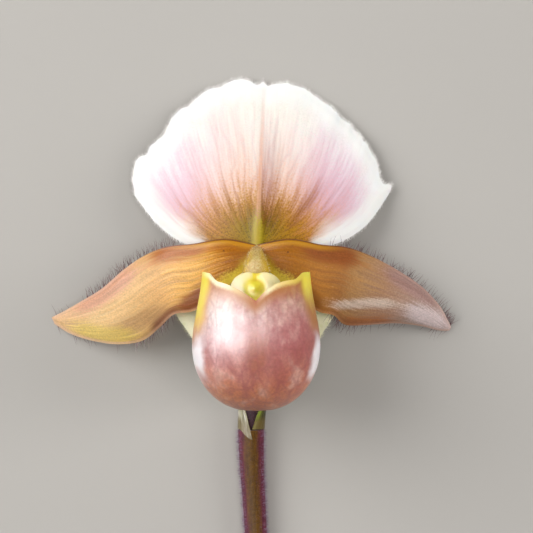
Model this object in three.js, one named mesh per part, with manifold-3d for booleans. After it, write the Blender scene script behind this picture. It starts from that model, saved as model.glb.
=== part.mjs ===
// A cut slipper orchid bloom (Paphiopedilum hybrid) lying on its back on a table.
//
// Millimetres, +Z up. The face of the bloom looks up (+Z), the hooded upper sepal points to +Y, the cut
// flower stalk to -Y. The origin is on the table, at the flat spot under the bract on which the bloom rests.
// Every organ is built in bloom coordinates, whose x and y are measured from the hub where sepals, petals
// and lip meet, and whose z is the height over the table. One group then moves them all by HUB_Y.

import * as THREE from 'three';
import Module from 'manifold-3d';

// ---------------------------------------------------------------- driving dimensions (mm)
const HUB_Y = 30; // from the resting spot to the hub, along the stalk
const HUB_TOP = 15.4; // height of the hub's top face over the table
const GAP = 0.3; // clearance between neighbouring organs

const SEPAL_THICKNESS = 0.9;
const PETAL_THICKNESS = 1.0;
const LIP_WALL = 0.9;
const BRACT_THICKNESS = 0.6;

const STALK_RADIUS = 2.5;
const STALK_SWELL = 1.17; // how much thicker the stalk is where it meets the bract
const STALK_CUT_Y = -102; // the cut end of the stalk
const STALK_TOP_Y = -41.2; // where the stalk passes into ovary and bract
const NODE_Y = -40.8; // the lower end of ovary and bract
const NODE_HEIGHT = 3.3; // from the table to the middle of the stalk's top
const OVARY_RIBS = 6;

const LIP_TOE_Y = -35.3; // the far end of the slipper
const LIP_SQUARENESS = 2.3; // superellipse exponent of the slipper's cross-section

const SHIELD_CENTRE = [0, -9.3, 26.6];
const SHIELD_HALF_WIDTH = 5.7;
const SHIELD_HALF_HEIGHT = 4.5;
const SHIELD_TILT = 0.25; // how much its lower end rises, per millimetre

const RESTING_SKIN = 0.05; // a skin lower than this over the table lies flat on it

const { PI, sin, cos, abs, exp, max, min, sign, pow, hypot, round } = Math;
const wasm = await Module();
wasm.setup();

// ---------------------------------------------------------------- helpers
const gauss = (x, width) => exp(-((x / width) ** 2));
const lerp = (a, b, t) => a + (b - a) * t;
const smooth = (a, b, x) => {
  const t = min(1, max(0, (x - a) / (b - a)));
  return t * t * (3 - 2 * t);
};

// A smooth curve through evenly spaced values: numbers, or points given as arrays.
function through(stations) {
  const vectors = stations.map((s) => new THREE.Vector3(...[s].flat()));
  const curve = new THREE.CatmullRomCurve3(vectors, false, 'catmullrom', 0.5);
  return (t) => curve.getPoint(min(1, max(0, t)));
}

function geometryOf(points, triangles) {
  const geometry = new THREE.BufferGeometry();
  const corners = points.flatMap((p) => [p.x, p.y, p.z]);
  geometry.setAttribute('position', new THREE.Float32BufferAttribute(corners, 3));
  geometry.setIndex(triangles.flat());
  geometry.computeVertexNormals();
  return geometry;
}

function normalsOf(grid, closedAcross) {
  const rows = grid.length;
  const columns = grid[0].length;
  const column = (j) => (closedAcross ? (j + columns) % columns : min(columns - 1, max(0, j)));
  const at = (i, j) => grid[min(rows - 1, max(0, i))][column(j)];
  return grid.map((row, i) => row.map((_, j) => {
    const along = at(i + 1, j).clone().sub(at(i - 1, j));
    const across = at(i, j + 1).clone().sub(at(i, j - 1));
    return across.cross(along).normalize();
  }));
}

// A thin leaf, u from its base to its tip and v from one margin to the other. surface(u, v) is its middle
// face, with +Z on the side that looks up, and whatever would sink into the table is laid flat on it.
function leaf(surface, { along, across, thickness }) {
  const lowest = thickness / 2;
  const grid = Array.from({ length: along + 1 }, (_, i) => Array.from({ length: across + 1 }, (_, j) => {
    const p = surface(i / along, j / across);
    return p.setZ(max(p.z, lowest));
  }));
  const normals = normalsOf(grid, false);
  const columns = across + 1;
  const size = (along + 1) * columns;
  const faces = [1, -1].flatMap((side) => grid.flatMap((row, i) => row.map((p, j) => {
    const moved = p.clone().addScaledVector(normals[i][j], side * thickness / 2);
    return moved.setZ(moved.z < RESTING_SKIN ? 0 : moved.z);
  })));
  const triangles = [];
  for (let i = 0; i < along; i++) {
    for (let j = 0; j < across; j++) {
      const [a, d] = [i * columns + j, (i + 1) * columns + j];
      const [b, c] = [a + 1, d + 1];
      triangles.push([a, b, c], [a, c, d]);
      triangles.push([a + size, c + size, b + size], [a + size, d + size, c + size]);
    }
  }
  const rim = [];
  for (let j = 0; j < across; j++) rim.push(j);
  for (let i = 0; i < along; i++) rim.push(i * columns + across);
  for (let j = across; j > 0; j--) rim.push(along * columns + j);
  for (let i = along; i > 0; i--) rim.push(i * columns);
  rim.forEach((a, k) => {
    const b = rim[(k + 1) % rim.length];
    triangles.push([a, a + size, b + size], [a, b + size, b]);
  });
  return geometryOf(faces, triangles);
}

// A solid round body along a path: section(t, angle) is the distance from the path to the skin.
function stem(path, section, { rings, sides }) {
  const sideways = new THREE.Vector3(1, 0, 0);
  const points = [];
  for (let i = 0; i <= rings; i++) {
    const t = i / rings;
    const centre = path(t);
    const ahead = path(t + 0.01).sub(path(t - 0.01)).normalize();
    const up = ahead.clone().cross(sideways).normalize();
    const right = up.clone().cross(ahead).normalize();
    for (let j = 0; j < sides; j++) {
      const angle = (j / sides) * 2 * PI;
      const radius = section(t, angle);
      const p = centre.clone();
      p.addScaledVector(right, radius * cos(angle));
      p.addScaledVector(up, radius * sin(angle));
      points.push(p.setZ(max(0, p.z)));
    }
  }
  const [first, last] = [points.length, points.length + 1];
  points.push(path(0), path(1));
  const triangles = [];
  for (let i = 0; i < rings; i++) {
    for (let j = 0; j < sides; j++) {
      const k = (j + 1) % sides;
      const [a, b, c, d] = [i * sides + j, i * sides + k, (i + 1) * sides + k, (i + 1) * sides + j];
      triangles.push([a, c, b], [a, d, c]);
    }
  }
  for (let j = 0; j < sides; j++) {
    const k = (j + 1) % sides;
    triangles.push([first, j, k], [last, rings * sides + k, rings * sides + j]);
  }
  return facingOut(geometryOf(points, triangles));
}

function solidOf(geometry) {
  return new wasm.Manifold(new wasm.Mesh({
    numProp: 3,
    vertProperties: geometry.getAttribute('position').array,
    triVerts: new Uint32Array(geometry.index.array),
  }));
}

// Turns every triangle round when the solid is inside out.
function facingOut(geometry) {
  if (solidOf(geometry).volume() >= 0) return geometry;
  const index = geometry.index.array;
  for (let i = 0; i < index.length; i += 3) [index[i + 1], index[i + 2]] = [index[i + 2], index[i + 1]];
  geometry.computeVertexNormals();
  return geometry;
}

// Joins overlapping closed geometries into one.
function joined(...geometries) {
  const whole = geometries.map(solidOf).reduce((a, b) => a.add(b));
  const { numProp, vertProperties, triVerts } = whole.getMesh();
  const points = [];
  for (let i = 0; i < vertProperties.length; i += numProp) {
    points.push(new THREE.Vector3(...vertProperties.slice(i, i + 3)));
  }
  return geometryOf(points, [Array.from(triVerts)]);
}

function ellipsoid(centre, radii, tilt = 0) {
  const ball = new THREE.IcosahedronGeometry(1, 2);
  ball.deleteAttribute('normal');
  ball.deleteAttribute('uv');
  const seen = new Map();
  const points = [];
  const index = [];
  const corners = ball.getAttribute('position');
  for (let i = 0; i < corners.count; i++) {
    const p = new THREE.Vector3().fromBufferAttribute(corners, i);
    const key = p.toArray().map((x) => x.toFixed(4)).join();
    if (!seen.has(key)) {
      seen.set(key, points.length);
      p.multiply(new THREE.Vector3(...radii));
      p.applyAxisAngle(new THREE.Vector3(1, 0, 0), tilt);
      points.push(p.add(new THREE.Vector3(...centre)));
    }
    index.push(seen.get(key));
  }
  return facingOut(geometryOf(points, [index]));
}

// ---------------------------------------------------------------- dorsal sepal
// A broad fan. Its veins run from a narrow base to the scalloped outer margin; u goes along a vein.
const DORSAL = {
  base: [[-3.3, 1.4], [0, 1.0], [3.3, 1.4]],
  leftEdge: [[-3.3, 1.4], [-9.0, 0.2], [-16.2, 1.5], [-22.5, 6.0], [-27.6, 12.2]],
  rightEdge: [[3.3, 1.4], [9.0, 0.2], [17.2, 1.2], [24.5, 5.4], [29.8, 12.0]],
  margin: [
    [-27.6, 12.2], [-28.4, 16.0], [-27.0, 20.6], [-24.5, 22.4], [-22.6, 25.2], [-20.7, 28.0], [-17.3, 32.3],
    [-13.2, 35.4], [-8.9, 37.1], [-5.4, 38.8], [-1.6, 38.7], [0.3, 37.8], [1.5, 38.5], [3.0, 37.7],
    [6.4, 38.3], [10.4, 37.3], [14.6, 34.8], [19.8, 30.2], [24.8, 24.0], [27.6, 20.0], [28.6, 16.4],
    [30.7, 14.9], [29.8, 12.0],
  ],
};

// The hood arches away from the base and comes down to the table all round its outer margin.
function hoodHeight(x, y) {
  const dome = 14.7 + 0.1 * y - 0.0128 * y * y - 0.0115 * x * x;
  const midribX = lerp(0.1, 1.7, (y - 1) / 37.5); // it leans a little to the right
  const keel = 0.45 * gauss(x - midribX, 1.2) * smooth(13, 5, y) * smooth(1, 4, y);
  const groove = -0.35 * gauss(x - midribX, 1.3) * smooth(8, 18, y) * smooth(39, 33, y);
  return dome + keel + groove;
}

function dorsalSepal() {
  const evenly = (points) => {
    const vectors = points.map(([x, y]) => new THREE.Vector3(x, y));
    const curve = new THREE.CatmullRomCurve3(vectors, false, 'catmullrom', 0.5);
    return (t) => curve.getPointAt(t);
  };
  const [base, left, right] = [DORSAL.base, DORSAL.leftEdge, DORSAL.rightEdge].map(evenly);
  const margin = evenly(DORSAL.margin);
  const surface = (u, v) => {
    const [b, m, l, r] = [base(v), margin(v), left(u), right(u)];
    const [b0, b1, m0, m1] = [base(0), base(1), margin(0), margin(1)];
    const blend = (axis) => lerp(l[axis], r[axis], v) + lerp(b[axis], m[axis], u)
      - lerp(lerp(b0[axis], b1[axis], v), lerp(m0[axis], m1[axis], v), u);
    const [x, y] = [blend('x'), blend('y')];
    const ruffle = 0.2 * smooth(0.65, 1, u) * sin(2 * PI * (8.5 * v + 0.2));
    const rolledSides = -1.6 * smooth(0.25, 0.8, u) * (gauss(v, 0.09) + gauss(1 - v, 0.09));
    return new THREE.Vector3(x, y, hoodHeight(x, y) + ruffle + rolledSides);
  };
  return facingOut(leaf(surface, { along: 14, across: 44, thickness: SEPAL_THICKNESS }));
}

// ---------------------------------------------------------------- synsepal
// The two lower sepals, grown together into one leaf that lies behind the lip.
const SYNSEPAL = {
  left: [[-3.4, -5.2], [-12.0, -7.0], [-18.2, -12.8], [-15.4, -18.6], [-10.6, -25.4], [-5.4, -31.0],
    [-0.6, -33.8]],
  right: [[3.4, -5.2], [12.0, -7.0], [17.8, -12.8], [15.0, -18.6], [10.6, -25.4], [5.4, -31.0],
    [0.6, -33.8]],
};

function synsepal() {
  const [left, right] = [through(SYNSEPAL.left), through(SYNSEPAL.right)];
  const spine = through([12.6, 11.6, 10.7, 10.2, 10.0, 10.0, 10.1]);
  const surface = (u, v) => {
    const p = left(u).lerp(right(u), v);
    const cup = -0.001 * p.x * p.x;
    const ribs = 0.12 * cos(2 * PI * 4 * (v - 0.5));
    return p.setZ(spine(u).x + cup + ribs);
  };
  return facingOut(leaf(surface, { along: 14, across: 14, thickness: SEPAL_THICKNESS }));
}

// ---------------------------------------------------------------- petals
// Each petal has ten stations from base to tip. upper and lower are its two margins, ridge is the height
// of its middle, and the two drops say how far each margin falls behind the ridge.
const LEFT_PETAL = {
  upper: [[-0.5, 1.2], [-7.0, 2.4], [-14.0, 1.4], [-20.0, 0.7], [-25.0, -1.2], [-30.0, -4.5], [-35.1, -8.8],
    [-40.0, -11.7], [-44.0, -13.9], [-46.5, -15.3]],
  lower: [[-3.0, -4.9], [-8.5, -10.0], [-14.0, -13.6], [-18.4, -14.4], [-21.8, -17.4], [-26.0, -20.5],
    [-31.5, -21.3], [-37.5, -20.4], [-42.6, -18.8], [-46.3, -16.1]],
  ridge: [16.2, 16.3, 15.6, 14.4, 12.6, 10.4, 7.9, 5.2, 2.5, 0.5],
  upperDrop: [0, -1.0, -0.3, 0.8, 1.5, 1.5, 1.2, 0.8, 0.4, 0],
  lowerDrop: [0.1, 0.6, 0.9, 1.4, 2.4, 2.4, 1.5, 0.8, 0.4, 0],
};
const RIGHT_PETAL = {
  upper: [[0.5, 1.2], [7.4, 2.4], [14.4, 1.2], [20.1, 0.6], [25.5, -1.3], [31.8, -4.6], [37.5, -8.4],
    [41.6, -12.6], [43.6, -15.8], [44.6, -17.6]],
  lower: [[3.0, -4.9], [8.5, -10.0], [13.7, -13.7], [17.2, -14.6], [20.1, -16.8], [25.5, -16.8],
    [31.8, -16.5], [37.5, -17.2], [41.6, -18.2], [44.2, -18.4]],
  ridge: [16.2, 16.3, 15.6, 14.5, 13.0, 10.9, 8.4, 5.4, 2.7, 0.5],
  upperDrop: [0, -1.0, -0.3, 0.8, 1.6, 2.0, 1.8, 1.2, 0.6, 0],
  lowerDrop: [0.1, 0.6, 0.9, 2.0, 3.4, 3.4, 2.6, 1.6, 0.7, 0],
};

function petal({ upper, lower, ridge, upperDrop, lowerDrop }, phase) {
  const [top, bottom, height, dropUp, dropDown] = [upper, lower, ridge, upperDrop, lowerDrop].map(through);
  const surface = (u, v) => {
    const p = top(u).lerp(bottom(u), v);
    const fromRidge = 2 * v - 0.8; // the ridge runs a little above the middle
    const dropAbove = dropUp(u).x * (fromRidge / 0.8) ** 2;
    const dropBelow = dropDown(u).x * (fromRidge / 1.2) ** 2;
    const waviness = 0.3 * abs(fromRidge) * smooth(0.1, 0.3, u) * smooth(1, 0.8, u);
    const wave = waviness * sin(2 * PI * (3.5 * u + phase));
    return p.setZ(height(u).x - (fromRidge < 0 ? dropAbove : dropBelow) + wave);
  };
  return facingOut(leaf(surface, { along: 24, across: 10, thickness: PETAL_THICKNESS }));
}

// ---------------------------------------------------------------- lip
// The slipper: a hollow bag, open at its upper end (+Y) between two blunt ears. Cross-sections at one y
// are superellipses; angle 90 degrees is its front and 270 its back, which runs up into the claw.
// Rings from toe to mouth, about a step of LIP_STEP apart along the skin: [y, half width, front z, back z].
const LIP_STEP = 4.2;
const LIP_RINGS = [
  [LIP_TOE_Y, 0, 26.0, 26.0], [-34.8, 4.3, 29.8, 23.0], [-33.1, 8.0, 33.6, 20.2], [-30.2, 11.0, 37.0, 17.7],
  [-26.5, 13.0, 39.3, 16.1], [-22.4, 13.9, 40.5, 15.4], [-18.2, 13.8, 40.4, 15.6], [-14.0, 13.1, 39.1, 16.5],
  [-9.8, 12.35, 37.3, 17.1], [-5.6, 11.8, 35.9, 16.2], [-1.4, 11.4, 35.0, 15.8], [2.8, 11.1, 34.4, 15.6],
];
const lipOutline = through(LIP_RINGS.map(([y, halfWidth]) => [y, halfWidth]));
const lipDepth = through(LIP_RINGS.map(([, , front, back]) => [front, back]));
// Above the belly the rings are LIP_STEP apart in y too, which gives the station of a rim at y.
const lipStation = (y) => 1 + (y - LIP_RINGS.at(-1)[0]) / LIP_STEP / (LIP_RINGS.length - 1);

// How high the rim stands at each angle: a cleft in front, an ear on each side, low shoulders and the claw
// behind. The left side of the cleft is straight, the right side steep.
function lipRim(angle) {
  const forward = sin(angle);
  const sideways = abs(cos(angle));
  const spread = cos(angle) < 0 ? 0.42 : 0.22;
  const depth = (exp(-sideways / spread) - exp(-1 / spread)) / (1 - exp(-1 / spread));
  const cleft = -4.7 * depth * smooth(0, 0.5, forward);
  const ear = 1.4 * smooth(0.78, 0.5, forward) * smooth(-0.5, -0.1, forward);
  const shoulder = -3.4 * smooth(-0.1, -0.5, forward);
  const claw = 6.1 * gauss(sideways, 0.26) * smooth(-0.3, -0.8, forward);
  return -6.3 + cleft + ear + shoulder + claw;
}

function lip() {
  const around = 44;
  const rings = 17;
  const skin = (s, angle) => {
    const rim = lipRim(angle);
    const station = s * lipStation(rim);
    const { x: y, y: width } = lipOutline(station);
    const { x: front, y: back } = lipDepth(station);
    const rounded = (c) => sign(c) * pow(abs(c), 2 / LIP_SQUARENESS);
    const isBack = smooth(-0.05, -0.45, sin(angle)) * smooth(0.2, 0.7, abs(cos(angle)));
    const infold = 1 - 0.24 * smooth(6, 0, rim - y) * isBack;
    const flare = 1 + 0.035 * smooth(3, 0, rim - y) * smooth(-0.1, 0.3, sin(angle));
    const x = width * rounded(cos(angle)) * infold * flare;
    const dentAtCleft = -1.0 * gauss(x, 2.2) * smooth(-24, -11, y) * smooth(0, 0.5, sin(angle));
    const z = (front + back) / 2 + (front - back) / 2 * rounded(sin(angle)) * flare + dentAtCleft;
    return new THREE.Vector3(x, y, z);
  };
  const grid = [];
  for (let i = 1; i <= rings; i++) {
    grid.push(Array.from({ length: around }, (_, j) => skin(i / rings, (j / around) * 2 * PI)));
  }
  const toe = new THREE.Vector3(0, LIP_TOE_Y, LIP_RINGS[0][2]);
  const normals = normalsOf(grid, true);
  const middle = round(rings / 2);
  const inward = normals[middle][0].x > 0 ? -1 : 1; // angle 0 faces +X
  const outer = grid.flat();
  const inner = normals.flat().map((n, i) => outer[i].clone().addScaledVector(n, inward * LIP_WALL));
  const points = [...outer, ...inner, toe, toe.clone().setY(LIP_TOE_Y + LIP_WALL)];
  const shift = outer.length;
  const triangles = [];
  for (let i = 0; i < rings - 1; i++) {
    for (let j = 0; j < around; j++) {
      const k = (j + 1) % around;
      const [a, b, c, d] = [i * around + j, i * around + k, (i + 1) * around + k, (i + 1) * around + j];
      triangles.push([a, b, c], [a, c, d]);
      triangles.push([a + shift, c + shift, b + shift], [a + shift, d + shift, c + shift]);
    }
  }
  const top = (rings - 1) * around;
  for (let j = 0; j < around; j++) {
    const k = (j + 1) % around;
    triangles.push([top + j, top + k, top + k + shift], [top + j, top + k + shift, top + j + shift]);
    triangles.push([2 * shift, k, j], [2 * shift + 1, j + shift, k + shift]);
  }
  return facingOut(geometryOf(points, triangles));
}

// ---------------------------------------------------------------- column, shield and anthers
// The column leans forward over the slipper's mouth and carries the shield; its stigma looks into the bag.
function column() {
  const path = through([[0, -1.3, HUB_TOP + GAP], [0, -1.3, 18.0], [0, -3.8, 21.2], [0, -6.6, 23.3]]);
  const radius = through([1.1, 1.5, 2.6, 2.3]);
  const stalk = stem(path, (t, angle) => radius(t).x * (1 - 0.28 * sin(angle) ** 2), { rings: 7, sides: 14 });
  const stigma = ellipsoid([0, -7.6, 21.2], [2.4, 2.2, 1.1], 0.75);
  return joined(stalk, stigma);
}

function staminode() {
  const rings = 7;
  const sides = 30;
  const outline = (angle) => {
    const rounded = 1 / pow(pow(abs(cos(angle)), 2.5) + pow(abs(sin(angle)), 2.5), 1 / 2.5);
    const topNotch = 1 - 0.1 * gauss(angle - PI / 2, 0.22);
    const bottomNotch = 1 - 0.16 * gauss(angle - 1.5 * PI, 0.2) + 0.1 * gauss(angle - 1.5 * PI, 0.07);
    return rounded * topNotch * bottomNotch;
  };
  const height = (x, y) => {
    const boss = 0.8 * gauss(hypot(x + 0.3, y - 0.9), 1.15);
    const moat = -0.15 * gauss(hypot(x, y - 0.8) - 2.2, 0.8);
    return boss + moat - 0.016 * x * x - 0.012 * y * y - SHIELD_TILT * y;
  };
  const points = [];
  const add = (x, y, side) => {
    const [cx, cy, cz] = SHIELD_CENTRE;
    const half = 0.5 * (1 - 0.25 * hypot(x / SHIELD_HALF_WIDTH, y / SHIELD_HALF_HEIGHT));
    points.push(new THREE.Vector3(cx + x, cy + y, cz + height(x, y) + side * half));
  };
  for (const side of [1, -1]) {
    add(0, 0, side);
    for (let i = 1; i <= rings; i++) {
      for (let j = 0; j < sides; j++) {
        const angle = (j / sides) * 2 * PI;
        const r = outline(angle) * i / rings;
        add(SHIELD_HALF_WIDTH * r * cos(angle), SHIELD_HALF_HEIGHT * r * sin(angle), side);
      }
    }
  }
  const layer = 1 + rings * sides;
  const triangles = [];
  const both = (a, b, c) => triangles.push([a, b, c], [a + layer, c + layer, b + layer]);
  for (let j = 0; j < sides; j++) {
    const k = (j + 1) % sides;
    both(0, 1 + j, 1 + k);
    for (let i = 0; i < rings - 1; i++) {
      const [a, b] = [1 + i * sides + j, 1 + i * sides + k];
      const [c, d] = [b + sides, a + sides];
      both(a, d, c);
      both(a, c, b);
    }
    const [p, q] = [1 + (rings - 1) * sides + j, 1 + (rings - 1) * sides + k];
    triangles.push([p, p + layer, q + layer], [p, q + layer, q]);
  }
  return facingOut(geometryOf(points, triangles));
}

const anther = (side) => ellipsoid([side * 3.3, -7.9, 22.6], [1.05, 1.35, 1.0], 0.5);

// ---------------------------------------------------------------- ovary, bract and stalk
function ovary() {
  const path = through([[-1.3, NODE_Y, NODE_HEIGHT], [-0.7, -32.2, 3.6], [-0.1, -23.2, 4.0], [0, -14, 4.5],
    [0, -6.6, 5.9], [0, -2.2, 9.8], [0, -1.9, HUB_TOP]]);
  const radius = through([2.1, 2.3, 2.75, 3.0, 2.8, 2.5, 2.6]);
  const ribbed = (t, angle) => {
    const rib = 0.07 * cos(OVARY_RIBS * angle) * smooth(0, 0.2, t) * smooth(1, 0.8, t);
    return radius(t).x * (1 + rib);
  };
  return stem(path, ribbed, { rings: 22, sides: 18 });
}

// A small boat-shaped leaf that clasps the join of stalk and ovary, split open on the side that looks up.
function bract() {
  const clasp = through([174, 151, 120, 98, 80, 54, 6]); // half of the angle that it wraps, in degrees
  const radius = through([2.8, 2.85, 3.1, 3.35, 3.5, 3.6, 3.7]);
  const path = through([[-1.3, NODE_Y, NODE_HEIGHT], [-1.05, -37.0, 3.3], [-0.75, -33.2, 3.4],
    [-0.45, -29.5, 3.45], [-0.2, -25.8, 3.55], [0, -22.1, 3.8], [0, -18.4, 4.3]]);
  const surface = (u, v) => {
    const angle = clasp(u).x * (PI / 180) * (2 * v - 1);
    const around = new THREE.Vector3(sin(angle), 0, -cos(angle));
    return path(u).addScaledVector(around, radius(u).x);
  };
  return facingOut(leaf(surface, { along: 14, across: 16, thickness: BRACT_THICKNESS }));
}

function stalk() {
  const lift = STALK_RADIUS - 0.1; // presses its lowest side flat on the table
  const path = through([[1.2, STALK_CUT_Y, lift], [0.7, -86, lift], [0.1, -70, lift + 0.05],
    [-0.7, -56, lift + 0.35], [-1.15, -47.5, lift + 0.7], [-1.3, STALK_TOP_Y, NODE_HEIGHT]]);
  const radius = (t) => STALK_RADIUS * lerp(1, STALK_SWELL, smooth(0.4, 1, t));
  return stem(path, radius, { rings: 20, sides: 14 });
}

// ---------------------------------------------------------------- materials and assembly
const finish = (color, roughness) => new THREE.MeshStandardMaterial({ color, roughness, metalness: 0 });
const FINISHES = {
  dorsal: finish(0xf3e3e6, 0.6),
  synsepal: finish(0xe3e3a8, 0.6),
  petal: finish(0xb9803f, 0.5),
  lip: finish(0xc98a86, 0.3),
  column: finish(0xddc98c, 0.6),
  staminode: finish(0xf0ebbe, 0.55),
  anther: finish(0xc9a24a, 0.5),
  ovary: finish(0x6d4a4c, 0.7),
  bract: finish(0x8f9b55, 0.65),
  stalk: finish(0x6b3f3c, 0.7),
};

const bloom = new THREE.Group();
bloom.position.set(0, HUB_Y, 0);
const organ = (name, geometry, material) => {
  const mesh = new THREE.Mesh(geometry, material);
  mesh.name = name;
  bloom.add(mesh);
};
organ('dorsal_sepal', dorsalSepal(), FINISHES.dorsal);
organ('synsepal', synsepal(), FINISHES.synsepal);
organ('petal_left', petal(LEFT_PETAL, 0), FINISHES.petal);
organ('petal_right', petal(RIGHT_PETAL, 0.4), FINISHES.petal);
organ('lip', lip(), FINISHES.lip);
organ('column', column(), FINISHES.column);
organ('staminode', staminode(), FINISHES.staminode);
organ('anther_left', anther(-1), FINISHES.anther);
organ('anther_right', anther(1), FINISHES.anther);
organ('ovary', ovary(), FINISHES.ovary);
organ('bract', bract(), FINISHES.bract);
organ('stalk', stalk(), FINISHES.stalk);

const part = new THREE.Group();
part.add(bloom);
export default part;
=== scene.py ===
# A cut slipper orchid bloom lying on its back on a pale table.
#
# Shapes are worked out in millimetres in bloom coordinates: x and y from the hub where sepals, petals and lip
# meet, z from the table top. place() turns them into the frame's metres.

import functools
import math

import bpy
import numpy as np
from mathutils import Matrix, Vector


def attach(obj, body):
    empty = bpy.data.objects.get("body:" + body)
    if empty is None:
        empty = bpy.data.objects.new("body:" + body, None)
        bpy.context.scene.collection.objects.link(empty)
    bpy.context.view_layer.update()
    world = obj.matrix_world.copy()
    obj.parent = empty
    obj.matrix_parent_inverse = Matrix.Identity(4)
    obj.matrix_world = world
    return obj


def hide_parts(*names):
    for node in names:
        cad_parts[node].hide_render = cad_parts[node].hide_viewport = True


bl_info = {
    "name": "Slipper Orchid Bloom",
    "version": (1, 0, 0),
    "blender": (4, 5, 0),
    "location": "View3D > Sidebar > Orchid",
    "description": "Models a cut slipper orchid bloom, with its veins, flush and hairs, on a plain table",
    "category": "Add Mesh",
}

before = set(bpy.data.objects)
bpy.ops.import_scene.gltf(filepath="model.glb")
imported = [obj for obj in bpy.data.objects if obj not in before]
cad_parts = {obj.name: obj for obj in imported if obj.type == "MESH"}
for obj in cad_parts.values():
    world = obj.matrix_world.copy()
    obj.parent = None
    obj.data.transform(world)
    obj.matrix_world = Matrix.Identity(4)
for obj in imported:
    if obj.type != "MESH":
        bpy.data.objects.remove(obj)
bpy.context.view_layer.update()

MM = 0.001
HUB_Y = 30.0  # mm from the resting spot to the hub, along the stalk
SEED = 7
CREASE = 50  # degrees between two faces from which their edge looks sharp
CAMERA = (2.25, 26.2875, 512)  # mm, straight above the bloom, looking down
LENS, SENSOR = 150.1, 36  # mm


# ---------------------------------------------------------------- shape helpers
def gauss(x, width):
    return np.exp(-(x / width) ** 2)


def lerp(a, b, t):
    return a + (b - a) * t


def smooth(a, b, x):
    t = np.clip((x - a) / (b - a), 0, 1)
    return t * t * (3 - 2 * t)


def through(stations):
    """A smooth curve through evenly spaced stations, as a function of 0 to 1."""
    p = np.array(stations, float).reshape(len(stations), -1)
    p = np.vstack([2 * p[0] - p[1], p, 2 * p[-1] - p[-2]])

    def curve(t):
        t = np.clip(np.asarray(t, float), 0, 1) * (len(p) - 3)
        i = np.minimum(t.astype(int), len(p) - 4)
        w = (t - i)[..., None]
        before, start, end, after = p[i], p[i + 1], p[i + 2], p[i + 3]
        leave, arrive = (end - before) / 2, (after - start) / 2
        return (start + leave * w + (3 * (end - start) - 2 * leave - arrive) * w ** 2
                + (2 * (start - end) + leave + arrive) * w ** 3)

    return curve


def evenly(stations):
    """The same curve, paced by its length."""
    curve = through(stations)
    t = np.linspace(0, 1, 201)
    run = np.concatenate([[0], np.cumsum(np.linalg.norm(np.diff(curve(t), axis=0), axis=1))])
    return lambda share: curve(np.interp(share, run / run[-1], t))


def place(points):
    """Bloom coordinates in millimetres to the frame's metres."""
    return (np.asarray(points, float) + (0, HUB_Y, 0)) * MM


def unit(vectors):
    return vectors / np.maximum(np.linalg.norm(vectors, axis=-1, keepdims=True), 1e-12)


# ---------------------------------------------------------------- mesh helpers
def corners(piece):
    co = np.empty(len(piece.data.vertices) * 3)
    piece.data.vertices.foreach_get("co", co)
    return co.reshape(-1, 3)


def shape(piece, co):
    """Moves every vertex of the piece, and lays flat on the table what would sink into it."""
    co = np.array(co, float)
    co[:, 2] = np.maximum(co[:, 2], 0)
    piece.data.vertices.foreach_set("co", co.ravel())
    piece.data.update()


def note(piece, name, values):
    """Keeps a number for each vertex, which the piece's material reads."""
    piece.data.attributes.new(name, "FLOAT", "POINT").data.foreach_set("value", np.ravel(values))


def edit(piece, *steps):
    """Runs mesh operators on the whole piece in edit mode."""
    bpy.ops.object.select_all(action="DESELECT")
    piece.select_set(True)
    bpy.context.view_layer.objects.active = piece
    bpy.ops.object.mode_set(mode="EDIT")
    for operator, settings in steps:
        bpy.ops.mesh.select_all(action="SELECT")
        operator(**settings)
    bpy.ops.object.mode_set(mode="OBJECT")


def blank(name, across, along, surface):
    """A grid laid on an organ's middle face, and its vertices' shares across the organ and along it from its
    base, which its UV map holds too."""
    bpy.ops.object.select_all(action="DESELECT")
    bpy.ops.mesh.primitive_grid_add(x_subdivisions=across, y_subdivisions=along, size=1)
    piece = bpy.context.object
    piece.name = piece.data.name = name
    share = corners(piece)[:, :2] + 0.5
    piece.data.vertices.foreach_set("co", place(surface(share[:, 0], share[:, 1])).ravel())
    piece.data.update()
    return piece, *share.T


def face_up(piece):
    if sum(p.normal.z * p.area for p in piece.data.polygons) < 0:
        edit(piece, (bpy.ops.mesh.flip_normals, {}))


def thicken(piece, thickness, share, offset=0.0):
    """Gives a sheet its wall, thinner where share is below one."""
    wall = piece.vertex_groups.new(name="wall")
    for i, weight in enumerate(share):
        wall.add([i], float(weight), "REPLACE")
    bpy.context.view_layer.objects.active = piece
    bpy.ops.object.modifier_add(type="SOLIDIFY")
    solidify = piece.modifiers[-1]
    solidify.thickness = thickness
    solidify.offset = offset
    solidify.vertex_group = "wall"
    bpy.ops.object.modifier_apply(modifier=solidify.name)
    piece.vertex_groups.clear()
    shape(piece, corners(piece))


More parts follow.
